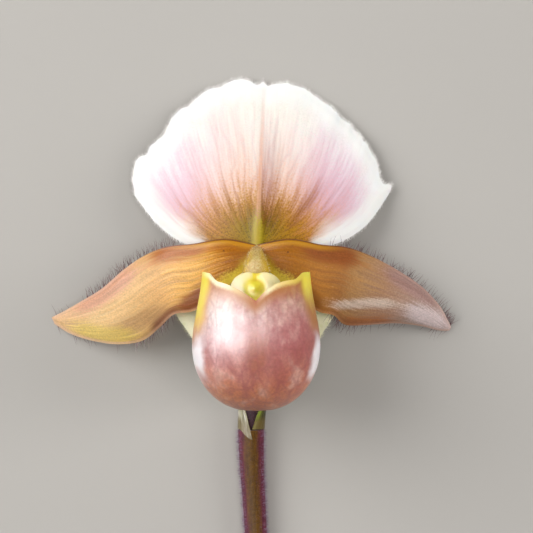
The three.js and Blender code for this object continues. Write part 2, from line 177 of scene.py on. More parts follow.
def sweep(name, centres, radii, sides):
    """Extrudes a disc from station to station, turning it on the way and giving it each station's radius."""
    centres = place(centres)
    heading = unit(np.gradient(centres, axis=0))
    pitch = np.arctan2(heading[:, 2], heading[:, 1])
    yaw = -np.arctan2(heading[:, 0], heading[:, 1])
    bpy.ops.object.select_all(action="DESELECT")
    bpy.ops.mesh.primitive_circle_add(
        vertices=sides, radius=radii[0] * MM, fill_type="NGON",
        location=centres[0], rotation=(math.pi / 2 + pitch[0], 0, yaw[0]))
    piece = bpy.context.object
    piece.name = piece.data.name = name
    bpy.ops.object.transform_apply(location=True, rotation=True, scale=True)
    bpy.ops.object.mode_set(mode="EDIT")
    bpy.ops.mesh.select_all(action="SELECT")
    for i in range(1, len(centres)):
        pivot = tuple(centres[i])
        step = tuple(centres[i] - centres[i - 1])
        bpy.ops.mesh.extrude_region_move(TRANSFORM_OT_translate={"value": step})
        # without a window the rotation runs the other way, hence the minus signs
        bpy.ops.transform.rotate(value=-(pitch[i] - pitch[i - 1]), orient_axis="X", center_override=pivot)
        bpy.ops.transform.rotate(value=-(yaw[i] - yaw[i - 1]), orient_axis="Z", center_override=pivot)
        bpy.ops.transform.resize(value=(radii[i] / radii[i - 1],) * 3, center_override=pivot)
    bpy.ops.object.mode_set(mode="OBJECT")
    edit(piece, (bpy.ops.mesh.normals_make_consistent, {"inside": False}))
    return piece


def swell(piece, centres, sides, share):
    """Moves each vertex of a swept piece from its path by share, one value for each station and side."""
    middle = np.repeat(place(centres), sides, axis=0)
    shape(piece, middle + (corners(piece) - middle) * np.asarray(share).reshape(-1, 1))


def settle(piece, skins, slot, *nodes):
    """Gives the finished piece its skins, smooths it, tests that it is closed, and ties it to the frame."""
    for material in skins:
        piece.data.materials.append(material)
    bpy.ops.object.select_all(action="DESELECT")
    piece.select_set(True)
    bpy.context.view_layer.objects.active = piece
    bpy.ops.object.shade_smooth_by_angle(angle=math.radians(CREASE))
    loops = np.empty(len(piece.data.loops), int)
    piece.data.loops.foreach_get("edge_index", loops)
    if (np.bincount(loops, minlength=len(piece.data.edges)) != 2).any():
        raise RuntimeError(f"{piece.name} isn't a closed surface")
    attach(piece, "root")
    if nodes:
        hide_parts(*nodes)


# ---------------------------------------------------------------- hairs
def one_hair(bends):
    """A tapered hair, one long and one thick, standing on the origin. Its bends let it curl."""
    bpy.ops.object.select_all(action="DESELECT")
    bpy.ops.mesh.primitive_cone_add(vertices=3, radius1=0.5, radius2=0.12, depth=1, location=(0, 0, 0.5))
    hair = bpy.context.object
    bpy.ops.object.transform_apply(location=True, rotation=False, scale=False)
    edit(hair, *[(bpy.ops.mesh.bisect, {"plane_co": (0, 0, k / (bends + 1)), "plane_no": (0, 0, 1)})
                 for k in range(1, bends + 1)])
    co = corners(hair)
    faces = [tuple(p.vertices) for p in hair.data.polygons]
    bpy.data.objects.remove(hair)
    return co, faces


def coat_of_hairs(name, slot, look, roots, ways, rng, longest, reach, stray, width, curl, bends=0, rise=None):
    """Copies one hair to every root, in millimetres, and joins the copies in one finished piece. Lengths lie
    in reach, as shares of the longest. Hairs stray from their ways, and rise keeps them low."""
    ways = ways + rng.normal(size=ways.shape) * stray
    if rise is not None:
        ways[:, 2] = abs(ways[:, 2]) * rise
    long = (longest * rng.uniform(*reach, len(roots)))[:, None, None]
    co, faces = one_hair(bends)
    ways = unit(ways)
    side = unit(np.cross(ways, rng.normal(size=ways.shape)))
    other = np.cross(ways, side)
    x, y, z = (co[:, k][None, :, None] for k in range(3))
    shortening = 0.3  # how much of its curl a hair loses in height
    points = (roots[:, None, :] + ways[:, None, :] * z * long * (1 - curl * z * z * shortening)
              + side[:, None, :] * (x * width + curl * z * z * long)
              + other[:, None, :] * y * width)
    clear = 0.02  # mm over the table, below which a hair is left out
    points = points[points[:, :, 2].min(axis=1) > clear]
    mesh = bpy.data.meshes.new(name)
    mesh.from_pydata(
        place(points.reshape(-1, 3)).tolist(), [],
        [tuple(v + k * len(co) for v in face) for k in range(len(points)) for face in faces])
    piece = bpy.data.objects.new(name, mesh)
    bpy.context.scene.collection.objects.link(piece)
    settle(piece, [look], slot)


def scattered(piece, rng, count, keep):
    """Random spots on a finished piece, even by area, with their normals, where keep(spot, normal) holds."""
    piece.data.calc_loop_triangles()
    triangles = np.array([t.vertices[:] for t in piece.data.loop_triangles])
    # Blender's order of faces differs from run to run, so vertices and triangles are sorted by their place
    order = np.lexsort(corners(piece).T)
    co = corners(piece)[order]
    triangles = np.argsort(order)[triangles]
    first = triangles.argmin(axis=1)[:, None]
    triangles = np.take_along_axis(triangles, (first + np.arange(3)) % 3, axis=1)
    triangles = triangles[np.lexsort(triangles.T)]
    a, b, c = (co[triangles[:, k]] for k in range(3))
    across = np.cross(b - a, c - a)
    area = np.linalg.norm(across, axis=1)
    pick = rng.choice(len(area), size=count, p=area / area.sum())
    s, t = rng.random((2, count, 1))
    s, t = np.where(s + t > 1, 1 - s, s), np.where(s + t > 1, 1 - t, t)
    spots = (a[pick] + (b - a)[pick] * s + (c - a)[pick] * t) / MM - (0, HUB_Y, 0)
    normals = unit(across[pick])
    held = keep(spots, normals)
    return spots[held], normals[held]


def on_margins(surface, *margins):
    """Spots on margins of a leaf, and the directions that point out of it there. A margin is given by where
    its spots lie across and along, and by a step across and along that leads inward."""
    spots, ways = [], []
    for across, along, step_across, step_along in margins:
        across, along = np.broadcast_arrays(across, along)
        edge = surface(across, along)
        spots.append(edge)
        ways.append(unit(edge - surface(across + step_across, along + step_along)))
    return np.vstack(spots), np.vstack(ways)


# ---------------------------------------------------------------- organs, as functions of across and along
DORSAL_BASE = [[-3.3, 1.4], [0, 1.0], [3.3, 1.4]]
DORSAL_LEFT = [[-3.3, 1.4], [-9.0, 0.2], [-16.2, 1.5], [-22.5, 6.0], [-27.6, 12.2]]
DORSAL_RIGHT = [[3.3, 1.4], [9.0, 0.2], [17.2, 1.2], [24.5, 5.4], [30.0, 12.4]]
DORSAL_MARGIN = [
    [-27.6, 12.2], [-28.4, 15.8], [-28.0, 19.2], [-26.9, 21.1], [-25.0, 22.0], [-24.6, 23.5], [-23.1, 24.8],
    [-21.2, 26.3], [-20.7, 27.9], [-19.4, 30.2], [-17.8, 32.0], [-15.4, 33.4], [-14.3, 34.5], [-12.6, 35.9],
    [-10.5, 37.0], [-8.6, 37.5], [-7.3, 38.3], [-5.6, 39.0], [-3.6, 39.2], [-1.6, 38.9], [-0.1, 38.1],
    [0.7, 38.1], [1.4, 38.7], [2.1, 38.2], [2.9, 37.8], [4.6, 38.2], [6.4, 38.4], [8.7, 37.9], [10.8, 37.1],
    [13.2, 35.7], [15.2, 34.1], [17.2, 32.6], [19.2, 30.5], [21.4, 28.7], [23.3, 26.6], [24.9, 24.5],
    [26.6, 21.7], [27.8, 19.2], [28.2, 16.6], [28.9, 15.2], [30.8, 14.9], [30.0, 12.4],
]

# Soft folds of the upper sepal, in which its colour is darkened as painted shade: how far across, half their
# width, and where along each one starts, is deepest and ends, and how deep its painted shade is.
DORSAL_FOLD_SHADES = [
    (0.745, 0.026, 0.10, 0.42, 0.75, 0.8), (0.690, 0.012, 0.25, 0.42, 0.66, 0.35),
    (0.820, 0.014, 0.30, 0.50, 0.85, 0.3), (0.150, 0.018, 0.20, 0.42, 0.72, 0.45),
    (0.195, 0.010, 0.22, 0.40, 0.62, 0.4), (0.340, 0.010, 0.25, 0.42, 0.62, 0.5),
    (0.395, 0.008, 0.25, 0.38, 0.60, 0.4), (0.270, 0.012, 0.20, 0.36, 0.52, 0.3),
]


def fold_shade(across, along):
    """How deep each spot of the upper sepal lies in one of its folds, which sets its painted shade."""
    shade = np.zeros(len(across))
    for middle, half, start, deepest, end, depth in DORSAL_FOLD_SHADES:
        drift = across - middle - 0.006 * np.sin(15 * along + 40 * middle)
        reach = smooth(start, deepest, along) * smooth(end, deepest, along)
        shade = np.maximum(shade, depth * reach * gauss(drift, half * lerp(0.8, 1.3, along)))
    return shade


def above_table(height, least=0.35, bend=1.6):
    """The height, eased so that it runs out softly over the table."""
    over = height - least
    return least + (over + np.sqrt(over * over + bend * bend)) / 2


def midrib_x(y):
    """The midrib of the upper sepal leans a little to the right."""
    return lerp(0.1, 1.7, (y - 1) / 37.5)


def dorsal_surface(across, along):
    """The hood: veins fan out from a narrow base to a scalloped margin that comes down to the table."""
    base, margin = evenly(DORSAL_BASE), evenly(DORSAL_MARGIN)
    left, right = evenly(DORSAL_LEFT), evenly(DORSAL_RIGHT)
    v, u = across[:, None], along[:, None]
    flat = (lerp(left(along), right(along), v) + lerp(base(across), margin(across), u)
            - lerp(lerp(base(0.0), base(1.0), v), lerp(margin(0.0), margin(1.0), v), u))
    x, y = flat.T
    dome = 14.7 + 0.1 * y - 0.0128 * y * y - 0.0115 * x * x
    keel = 0.45 * gauss(x - midrib_x(y), 1.2) * smooth(13, 4, y)
    groove = -0.35 * gauss(x - midrib_x(y), 1.3) * smooth(8, 18, y) * smooth(39, 33, y)
    ruffle = 0.2 * smooth(0.65, 1, along) * np.sin(2 * np.pi * (8.5 * across + 0.2))
    crimp = 0.1 * smooth(0.85, 1, along) * np.sin(2 * np.pi * 13 * across + 2.5 * np.sin(17 * across))
    rolled = -1.6 * smooth(0.25, 0.8, along) * (gauss(across, 0.09) + gauss(1 - across, 0.09))
    veins = 0.02 * smooth(0.02, 0.3, along) * smooth(1, 0.7, along) * np.cos(2 * np.pi * 19 * (across - 0.5))
    nicks = smooth(0.9, 1, along) * (
        0.10 * np.sin(2 * np.pi * 19 * across + 3 * np.sin(23 * across))
        + 0.05 * np.sin(2 * np.pi * 47 * across))
    outward = unit(flat - (0, 12))
    height = above_table(dome + keel + groove + rolled + veins) + ruffle + crimp
    return np.column_stack([flat + outward * nicks[:, None], height])


SYNSEPAL_LEFT = [
    [-3.4, -5.2], [-12.0, -7.0], [-18.2, -12.8], [-15.4, -18.6], [-10.6, -25.4], [-5.4, -31.0], [-0.6, -33.8]]
SYNSEPAL_RIGHT = [
    [3.4, -5.2], [12.0, -7.0], [17.8, -12.8], [15.0, -18.6], [10.6, -25.4], [5.4, -31.0], [0.6, -33.8]]


def synsepal_surface(across, along):
    flat = lerp(through(SYNSEPAL_LEFT)(along), through(SYNSEPAL_RIGHT)(along), across[:, None])
    spine = through([12.6, 11.6, 10.7, 10.2, 10.0, 10.0, 10.1])(along)[:, 0]
    cup = -0.001 * flat[:, 0] ** 2
    ribs = 0.12 * np.cos(2 * np.pi * 4 * (across - 0.5))
    return np.column_stack([flat, spine + cup + ribs])


# Each petal has ten stations from base to tip: its two margins, the height of its ridge, and how far each
# margin falls behind the ridge.
LEFT_PETAL = dict(
    upper=[[-0.2, 1.2], [-7.0, 2.4], [-14.0, 1.4], [-20.0, 0.7], [-25.0, -1.2], [-30.0, -4.5], [-35.1, -8.8],
           [-40.0, -11.7], [-44.0, -13.9], [-47.1, -15.4]],
    lower=[[-3.0, -4.9], [-8.5, -10.0], [-14.0, -13.6], [-18.4, -14.4], [-21.8, -17.4], [-26.0, -20.5],
           [-31.5, -21.3], [-37.5, -20.6], [-42.6, -19.1], [-46.4, -16.9]],
    ridge=[16.2, 16.3, 15.6, 14.4, 12.6, 10.4, 7.9, 5.2, 2.5, 0.5],
    upper_drop=[0, -1.0, -0.3, 0.8, 1.5, 1.5, 1.2, 0.8, 0.4, 0],
    lower_drop=[0.1, 0.6, 0.9, 1.4, 2.4, 2.4, 1.5, 0.8, 0.4, 0],
    phase=0.0)
RIGHT_PETAL = dict(
    upper=[[0.2, 1.2], [7.4, 2.4], [14.4, 1.2], [20.1, 0.6], [25.5, -1.3], [31.8, -4.6], [37.5, -8.4],
           [41.6, -12.6], [43.6, -15.8], [44.6, -17.6]],
    lower=[[3.0, -4.9], [8.5, -10.0], [13.7, -13.7], [17.2, -14.6], [20.1, -16.8], [25.5, -16.8],
           [31.8, -16.5], [37.5, -17.2], [41.6, -18.2], [44.2, -18.4]],
    ridge=[16.2, 16.3, 15.6, 14.5, 13.0, 10.9, 8.4, 5.4, 2.7, 0.5],
    upper_drop=[0, -1.0, -0.3, 0.8, 1.6, 2.0, 1.8, 1.2, 0.6, 0],
    lower_drop=[0.1, 0.6, 0.9, 2.0, 3.4, 3.4, 2.6, 1.6, 0.7, 0],
    phase=0.4)


def patch_shade(spots, line, width):
    """How strong a patch is at each spot: it follows the line, fades over the width and tapers off."""
    shade, shares = np.zeros(len(spots)), np.linspace(0, 1, 60)
    for share, centre in zip(shares, evenly(line)(shares)):
        strength = 0.35 + 0.65 * smooth(0, 0.35, min(share, 1 - share))
        shade = np.maximum(shade, strength * gauss(np.linalg.norm(spots - centre, axis=1), width))
    return shade


def petal_surface(shape_of):
    def surface(across, along):
        flat = lerp(through(shape_of["upper"])(along), through(shape_of["lower"])(along), across[:, None])
        ridge, upper_drop, lower_drop = (
            through(shape_of[key])(along)[:, 0] for key in ("ridge", "upper_drop", "lower_drop"))
        from_ridge = 2 * across - 0.8
        drop = np.where(
            from_ridge < 0, upper_drop * (from_ridge / 0.8) ** 2, lower_drop * (from_ridge / 1.2) ** 2)
        still = smooth(0.1, 0.3, along) * smooth(1, 0.8, along)
        wave = 0.3 * abs(from_ridge) * still * np.sin(2 * np.pi * (3.5 * along + shape_of["phase"]))
        veins = 0.02 * smooth(0, 0.15, along) * smooth(1, 0.85, along) * np.cos(2 * np.pi * 11 * across)
        return np.column_stack([flat, np.maximum(ridge - drop + wave + veins, 0.25)])

    return surface


# Rings of the slipper from toe to mouth, a step apart along its skin: y, half width, front z, back z.
LIP_STEP = 4.2
LIP_SQUARENESS = 2.3
LIP_RINGS = [
    [-35.3, 0, 26.0, 26.0], [-34.8, 4.3, 29.8, 23.0], [-33.1, 8.0, 33.6, 20.2], [-30.2, 11.0, 37.0, 17.7],
    [-26.5, 13.0, 39.3, 16.1], [-22.4, 13.9, 40.5, 15.4], [-18.2, 13.8, 40.4, 15.6],
    [-14.0, 13.1, 39.1, 16.5], [-9.8, 12.35, 37.3, 17.1], [-5.6, 11.8, 35.9, 16.2],
    [-1.4, 11.4, 35.0, 15.8], [2.8, 11.1, 34.4, 15.6],
]


def lip_rim(angle):
    """How high the rim stands: a cleft in front, an ear on each side, low shoulders and the claw behind."""
    forward, sideways = np.sin(angle), abs(np.cos(angle))
    # the left side of the cleft is straight, the right side steep
    spread = np.where(np.cos(angle) < 0, 0.42, 0.22)
    cleft = (np.exp(-1 / spread) - np.exp(-sideways / spread)) / (1 - np.exp(-1 / spread))
    cleft = 4.7 * cleft * smooth(0, 0.5, forward)
    ear = 1.4 * smooth(0.78, 0.5, forward) * smooth(-0.5, -0.1, forward)
    shoulder = -3.4 * smooth(-0.1, -0.5, forward)
    claw = 6.1 * gauss(sideways, 0.26) * smooth(-0.3, -0.8, forward)
    return -6.3 + cleft + ear + shoulder + claw


def lip_surface(around, along):
    """The slipper's skin. around runs once round it, from the middle of its back."""
    angle = 2 * np.pi * around - np.pi / 2
    rim = lip_rim(angle)
    last = LIP_RINGS[-1][0]
    station = along * (1 + (rim - last) / LIP_STEP / (len(LIP_RINGS) - 1))
    y, width, front, back = through(LIP_RINGS)(station).T

    def rounded(c):
        return np.sign(c) * abs(c) ** (2 / LIP_SQUARENESS)

    behind = smooth(-0.05, -0.45, np.sin(angle)) * smooth(0.2, 0.7, abs(np.cos(angle)))
    infold = 1 - 0.24 * smooth(6, 0, rim - y) * behind
    flare = 1 + 0.01 * smooth(3, 0, rim - y) * smooth(-0.1, 0.3, np.sin(angle))
    x = width * rounded(np.cos(angle)) * infold * flare
    fore = smooth(0, 0.5, np.sin(angle))
    dent = -(0.12 * gauss(x, 3.4) * smooth(-24, -11, y) + 0.22 * gauss(x, 0.8) * smooth(-14, -6, y)) * fore
    folds = 0.03 * fore * smooth(0.1, 0.4, along) * smooth(1, 0.85, along) * (
        np.sin(0.8 * x + 0.35 * y) + np.sin(0.5 * x - 0.6 * y + 1.3) + 0.7 * np.sin(1.5 * x + 0.12 * y))
    z = (front + back) / 2 + (front - back) / 2 * rounded(np.sin(angle)) * flare + dent + folds
    return np.column_stack([x, y, z])


COLUMN_PATH = [[0, 0.2, 15.7], [0, -0.7, 17.6], [0, -3.4, 20.8], [0, -6.6, 23.0]]
COLUMN_RADIUS = [1.1, 1.45, 2.45, 3.3]
STIGMA_CENTRE = (0, -7.6, 21.2)
STIGMA_SIZE = (2.4, 2.2, 1.1)  # half of its width, length and thickness
POLLEN_CENTRE = (3.3, -7.9, 22.6)  # of the right one
POLLEN_SIZE = (1.05, 1.35, 1.0)
SHIELD_CENTRE = (0, -9.3, 26.6)
SHIELD_SIZE = (5.7, 4.5)  # half its width and half its length
SHIELD_POWER = 2.5  # a circle's would be 2, and a square's would have no end
NODE_Y = -40.8  # where ovary and bract begin, right above the stalk's top
OVARY_PATH = [[-1.3, NODE_Y, 3.3], [-0.7, -32.2, 3.6], [-0.1, -23.2, 4.0], [0, -14, 4.5], [0, -6.6, 5.9],
              [0, -2.2, 9.8], [0, -1.9, 15.4]]
OVARY_RADIUS = [2.1, 2.3, 2.75, 3.0, 2.8, 2.5, 2.6]
OVARY_RIBS = 6
STALK_RADIUS = 2.5
STALK_SWELL = 1.17  # how much thicker the stalk is where it meets the bract
STALK_PATH = [[1.2, -102, 2.4], [0.7, -86, 2.4], [0.1, -70, 2.45], [-0.7, -56, 2.75], [-1.15, -47.5, 3.1],
              [-1.3, -41.0, 3.3]]
BRACT_CLASP = [174, 151, 120, 98, 80, 54, 6]  # half of the angle that it wraps, in degrees
BRACT_RADIUS = [2.8, 2.85, 3.1, 3.35, 3.5, 3.6, 3.7]
BRACT_PATH = [[-1.3, NODE_Y, 3.3], [-1.05, -37.0, 3.3], [-0.75, -33.2, 3.4], [-0.45, -29.5, 3.45],
              [-0.2, -25.8, 3.55], [0, -22.1, 3.8], [0, -18.4, 4.3]]


def bract_surface(across, along):
    angle = np.radians(through(BRACT_CLASP)(along)[:, 0]) * (2 * across - 1)
    radius = through(BRACT_RADIUS)(along)[:, 0]
    x, y, z = through(BRACT_PATH)(along).T
    # its left margin runs out in a small tongue that lies on the stalk, and both margins are ragged
    tongue = smooth(0.16, 0.0, across) * smooth(0.22, 0.02, along)
    ragged = 0.05 * gauss(np.minimum(across, 1 - across), 0.05) * np.sin(61 * along) * np.sin(23 * along)
    radius = radius * (1 + ragged) + 0.35 * tongue
    return np.column_stack([
        x + radius * np.sin(angle) + 0.7 * tongue, y - 2.3 * tongue, z - radius * np.cos(angle)])


# ---------------------------------------------------------------- colours
def linear(code):
    """An sRGB hex colour as linear red, green and blue."""
    parts = [int(code[i:i + 2], 16) / 255 for i in (1, 3, 5)]
    return tuple(c / 12.92 if c <= 0.04045 else ((c + 0.055) / 1.055) ** 2.4 for c in parts)


def colour(name, description, code):
    return bpy.props.FloatVectorProperty(
        name=name, description=description, subtype="COLOR", size=3, min=0, max=1, default=linear(code))


def length(name, description, millimetres):
    return bpy.props.FloatProperty(
        name=name, description=description, unit="LENGTH", min=0, precision=5, default=millimetres * MM)


class OrchidSizes(bpy.types.PropertyGroup):
    sepal_wall: length("Sepal wall", "Thickness of the upper and lower sepals at their middle", 0.9)
    petal_wall: length("Petal wall", "Thickness of the petals at their middle", 1.0)
    lip_wall: length("Pouch wall", "Thickness of the slipper's wall", 0.9)
    bract_wall: length("Bract wall", "Thickness of the small leaf on the stalk", 0.6)
    petal_hair: length("Petal hair", "Length of the longest hairs on the petals' margins", 2.9)
    fringe: length("Sepal fringe", "Length of the short hairs round the sepals", 0.9)
    stalk_hair: length("Stalk hair", "Length of the hairs on the stalk and the ovary", 0.8)
    hair_count: bpy.props.IntProperty(
        name="Stalk hairs", description="Number of hairs on the stalk", min=0, max=12000, default=9000)


class OrchidColours(bpy.types.PropertyGroup):
    white: colour("Sepal white", "Outer margin of the upper sepal", "#F6F5F1")
    flush: colour("Lilac flush", "Flush on both sides of the upper sepal", "#DFB8C2")
    gold: colour("Olive gold", "Speckled fan at the foot of the upper sepal", "#846A08")
    petal_vein: colour("Petal veins", "Red-brown veins along the petals", "#7E4424")
    rose: colour("Rose", "Deepest colour of the pouch, on its right side", "#AC6460")
    yellow: colour("Pouch yellow", "Sides and ears of the pouch", "#EEDC4A")
    cream: colour("Shield cream", "Lobes of the shield over the pouch's mouth", "#F2E3A6")
    purple: colour("Stalk purple", "Sides of the stalk", "#64283A")
    olive: colour("Stalk olive", "Upper stripe of the stalk", "#5C3C06")
    table: colour("Table", "Plain table under the bloom", "#B2AEA8")


# ---------------------------------------------------------------- material helpers
# settings that many nodes share
SOFT = dict(interpolation_type="SMOOTHSTEP")
RGBA = dict(data_type="RGBA")
TINT = dict(data_type="RGBA", blend_type="MULTIPLY")
SUM, PRODUCT, SCALED_SUM = (dict(operation=name) for name in ("ADD", "MULTIPLY", "MULTIPLY_ADD"))
NOISE = (0.3, 0.7)  # the range in which a noise texture mostly stays


def opaque(shade):
    """Red, green, blue and alpha of a hex code, a grey level or a linear colour."""
    if isinstance(shade, str):
        shade = linear(shade)
    elif isinstance(shade, (int, float)):
        shade = (shade,) * 3
    return (*shade, 1)


def fill(node, inputs):
    """Sets or links a node's inputs, by name or in their order. A node as a value gives its first output."""
    sockets = [s for s in node.inputs if s.enabled]
    for key, value in inputs.items() if isinstance(inputs, dict) else enumerate(inputs):
        socket = sockets[key] if isinstance(key, int) else next(s for s in sockets if s.name == key)
        if isinstance(value, bpy.types.Node):
            value = next(s for s in value.outputs if s.enabled)
        if isinstance(value, bpy.types.NodeSocket):
            node.id_data.links.new(value, socket)
        else:
            socket.default_value = opaque(value) if socket.type == "RGBA" else value


def add_node(tree, kind, inputs=(), stops=(), **settings):
    """Adds a shader node with its settings, its inputs and, for a colour ramp, its stops."""
    node = tree.nodes.new("ShaderNode" + kind)
    for key, value in settings.items():
        setattr(node, key, value)
    fill(node, inputs)
    for i, (position, shade) in enumerate(stops):
        ramp = node.color_ramp.elements
        stop = ramp[i] if i < len(ramp) else ramp.new(position)
        stop.position, stop.color = position, opaque(shade)
    return node


def skin(name, roughness, specular=0.5, subsurface=0.0, coat_roughness=0.2, sheen=0.0):
    """A material set up for the cuticle of a living plant: IOR 1.45 and no metal. With it come a function
    that adds nodes to it, the UV map and the place in space."""
    material = bpy.data.materials.new(name)
    material.use_nodes = True
    tree = material.node_tree
    finish(material, {
        "Roughness": roughness, "IOR": 1.45, "Specular IOR Level": specular, "Subsurface Weight": subsurface,
        "Subsurface Radius": (1.0, 0.6, 0.4), "Subsurface Scale": 0.6 * MM, "Coat Roughness": coat_roughness,
        "Sheen Weight": sheen})
    where = add_node(tree, "TexCoord")
    return material, functools.partial(add_node, tree), where.outputs["UV"], where.outputs["Object"]


def layer(node, ground, shade, value, start, end, strength=1.0, ragged=(), within=(), soft=True):
    """Lays a colour over the ground as a value goes from start to end. Textures make its edge ragged, each by
    an amount, and it stays within other masks."""
    for texture, amount in ragged:
        value = node("Math", (texture, amount, value), **SCALED_SUM)
    cover = node("MapRange", (value, start, end, 0, strength), **(SOFT if soft else {}))
    for mask in within:
        cover = node("Math", (cover, mask), **PRODUCT)
    return node("Mix", (cover, ground, shade), **RGBA)


def finish(material, inputs, relief=None, strength=0.0, depth=0.0):
    """Sets or links inputs of the material's shader, and gives it a relief, whose depth is in millimetres."""
    tree = material.node_tree
    if relief is not None:
        bump = add_node(tree, "Bump", {"Height": relief, "Strength": strength, "Distance": depth * MM})
        inputs = {**inputs, "Normal": bump}
    fill(tree.nodes["Principled BSDF"], inputs)
    return material


# ---------------------------------------------------------------- materials
def dorsal_skin(colours):
    """Waxy sepal skin, nearly matt: a clean white margin, a lilac flush in streaks along the veins, and a
    speckled olive-gold foot with orange veins, as on a fresh show bloom."""
    material, node, uv, spot = skin("waxy sepal skin", 0.5, specular=0.15, subsurface=0.2)
    share = node("SeparateXYZ", (uv,))
    along = share.outputs["Y"]
    inset, flush, beside, painted_shade = (node("Attribute", attribute_name=name).outputs["Fac"]
                                  for name in ("inset", "flush", "beside", "painted_shade"))
    midrib = node("Math", (beside,), operation="ABSOLUTE")

    # streaks along the veins, broad ones about 2 mm wide half way up and fine ones of 0.4 mm, and slow waves
    broad, fine, wander = (
        node("TexNoise", (node("Mapping", {"Vector": uv, "Scale": scale}), 1.0, detail))
        for scale, detail in (((24, 1.7, 1), 3.0), ((100, 4.5, 1), 2.0), ((9, 4.0, 1), 2.0)))
    grain = node("TexNoise", (spot, 2300.0, 2.0))

    # the way out along the veins, ragged by the streaks and the grain, which the colours follow
    run = along
    for texture, reach in ((broad, 0.05), (fine, 0.035), (grain, 0.05)):
        run = node("Math", (run, node("MapRange", (texture, *NOISE, reach, -reach))), **SUM)
    middle = node("ValToRGB", (run,), stops=[
        (0.0, "#8C7208"), (0.16, "#867008"), (0.24, colours.gold), (0.30, "#90680E"), (0.37, "#B07E34"),
        (0.44, "#D2A276"), (0.51, "#E4BDA8"), (0.58, "#EBCFC0"), (0.66, "#EEDACF"), (0.76, "#F4E7DE"),
        (0.88, "#F6F2E8")])
    side = node("ValToRGB", (run,), stops=[
        (0.0, "#926E08"), (0.22, "#A47616"), (0.30, "#AC7626"), (0.37, "#BA8244"), (0.44, "#CB9470"),
        (0.51, "#D4A294"), (0.58, "#DBACB0"), (0.65, colours.flush), (0.73, "#E4C4CE"), (0.80, "#E9D3DA"),
        (0.90, "#F1E6E8")])
    ground = layer(node, middle, side, flush, 0.14, 0.36, ragged=[(broad, 0.12), (grain, 0.06)])

    # the white margin, which the flush streaks into
    deep = node("Math", (broad, -4 * MM, inset), **SCALED_SUM)
    deep = node("Math", (fine, -2.5 * MM, deep), **SCALED_SUM)
    deep = node("MapRange", (deep, -1.4 * MM, 3.8 * MM), **SOFT)
    ground = node("Mix", (deep, colours.white, ground), **RGBA)

    # veins: soft wavy ones about 1.5 mm apart, and thin ragged ones between them
    phase = node("Math", (share.outputs["X"], 2 * math.pi * 25), **PRODUCT)
    phase = node("Math", (wander, 17.0, phase), **SCALED_SUM)
    wavy = node("MapRange", (node("Math", (phase,), operation="SINE"), 0.3, 1.0, 0, 0.75), **SOFT)
    thin = node("MapRange", (fine, 0.54, 0.7, 0, 0.55), **SOFT)
    line = node("Math", (wavy, thin), operation="MAXIMUM")
    reach = node("ValToRGB", (run,), stops=[
        (0.0, 0), (0.1, 0.42), (0.34, 0.66), (0.46, 0.46), (0.62, 0.22), (0.85, 0.06)])
    line = node("Math", (line, reach), **PRODUCT)
    line = node("Math", (line, deep), use_clamp=True, **PRODUCT)
    tone = node("ValToRGB", (along,), stops=[
        (0.1, "#6E560A"), (0.28, "#7E5408"), (0.4, "#A0642A"), (0.52, "#C48468"), (0.7, "#CC98A4")])
    ground = node("Mix", (line, ground, tone), **RGBA)

    # specks about 0.3 mm wide, strong in the foot and faint in the flush
    specks = node("TexVoronoi", (spot, 1 / (0.42 * MM)))
    specks = node("MapRange", (specks, 0.15, 0.5, 0.54, 1.14))
    foot = node("MapRange", (run, 0.46, 0.26, 0.08, 0.9))
    foot = node("Math", (foot, deep), **PRODUCT)
    ground = node("Mix", (foot, ground, specks), **TINT)

    # painted shade in the folds and in the valley right of the midrib, ragged by the fine streaks
    painted_shade = node("Math", (fine, 0.5, painted_shade), **SCALED_SUM)
    painted_shade = node("MapRange", (painted_shade, 0.3, 1.1))
    ground = node("Mix", (painted_shade, ground, (0.66, 0.56, 0.58)), **TINT)

    # midrib: a pink line above, a yellow-green keel at the foot
    above = node("MapRange", (along, 1.0, 0.66, 0, 0.6))
    ground = layer(node, ground, "#DDA98F", midrib, 0.75 * MM, 0.15 * MM, within=[above])
    below = node("MapRange", (run, 0.36, 0.2, 0, 0.9), **SOFT)
    ground = layer(node, ground, "#B09C2A", midrib, 1.5 * MM, 0.4 * MM, within=[below])
    mottle = node("MapRange", (grain, *NOISE, 0.93, 1.05))
    ground = node("Mix", (deep, ground, mottle), **TINT)

    relief = node("Math", (fine, 0.5, grain), **SCALED_SUM)
    return finish(material, {"Base Color": ground}, relief, 0.3, 0.12)


# The tones of each petal: its ground from base to tip, the edge of its lower margin, and its patches. The
# left petal's ground is lighter than the right one's, partly their own colours and partly painted light, as
# the light falls from the left. A patch follows a line of spots in bloom coordinates and fades over its
# width;
# then come its colour and strength.
LEFT_TONES = dict(
    ground=[(0.0, "#A66A06"), (0.08, "#A86506"), (0.14, "#D08C22"), (0.21, "#ECB456"), (0.3, "#E6B265"),
            (0.4, "#DEAC6E"), (0.55, "#E0B57A"), (0.75, "#E9C48C"), (0.92, "#E0B688")],
    edge="#E4BA96",
    patches=[
        ([(-9, 1.2), (-14, 0.3), (-20, -0.8), (-25, -3.0)], 2.4, "#A85C18", 0.95),
        ([(-25, -2.6), (-32, -8), (-38, -12), (-44, -15.2)], 2.6, "#CE967A", 0.9),
        # painted shade and sheen of the curled-back lower margin, in grey-mauve
        ([(-16, -13), (-20, -15.4), (-24, -18.6)], 2.2, "#85543E", 0.95),
        ([(-19, -12), (-24, -14.6), (-30, -17.6), (-34, -18.8)], 2.2, "#B48E62", 0.55),
        ([(-25, -19.4), (-33, -19.2), (-38, -18.4), (-44, -16.8)], 2.2, "#DCC262", 0.7),
        ([(-4, 0), (-10, 0.8)], 1.9, "#A4600C", 0.5),
        # dark brown beside the pouch, partly the petal's own colour and partly painted shade of the pouch
        ([(-10.5, -8.6), (-14, -11.6), (-17.5, -13.4)], 2.6, "#8E5030", 0.95),
    ])
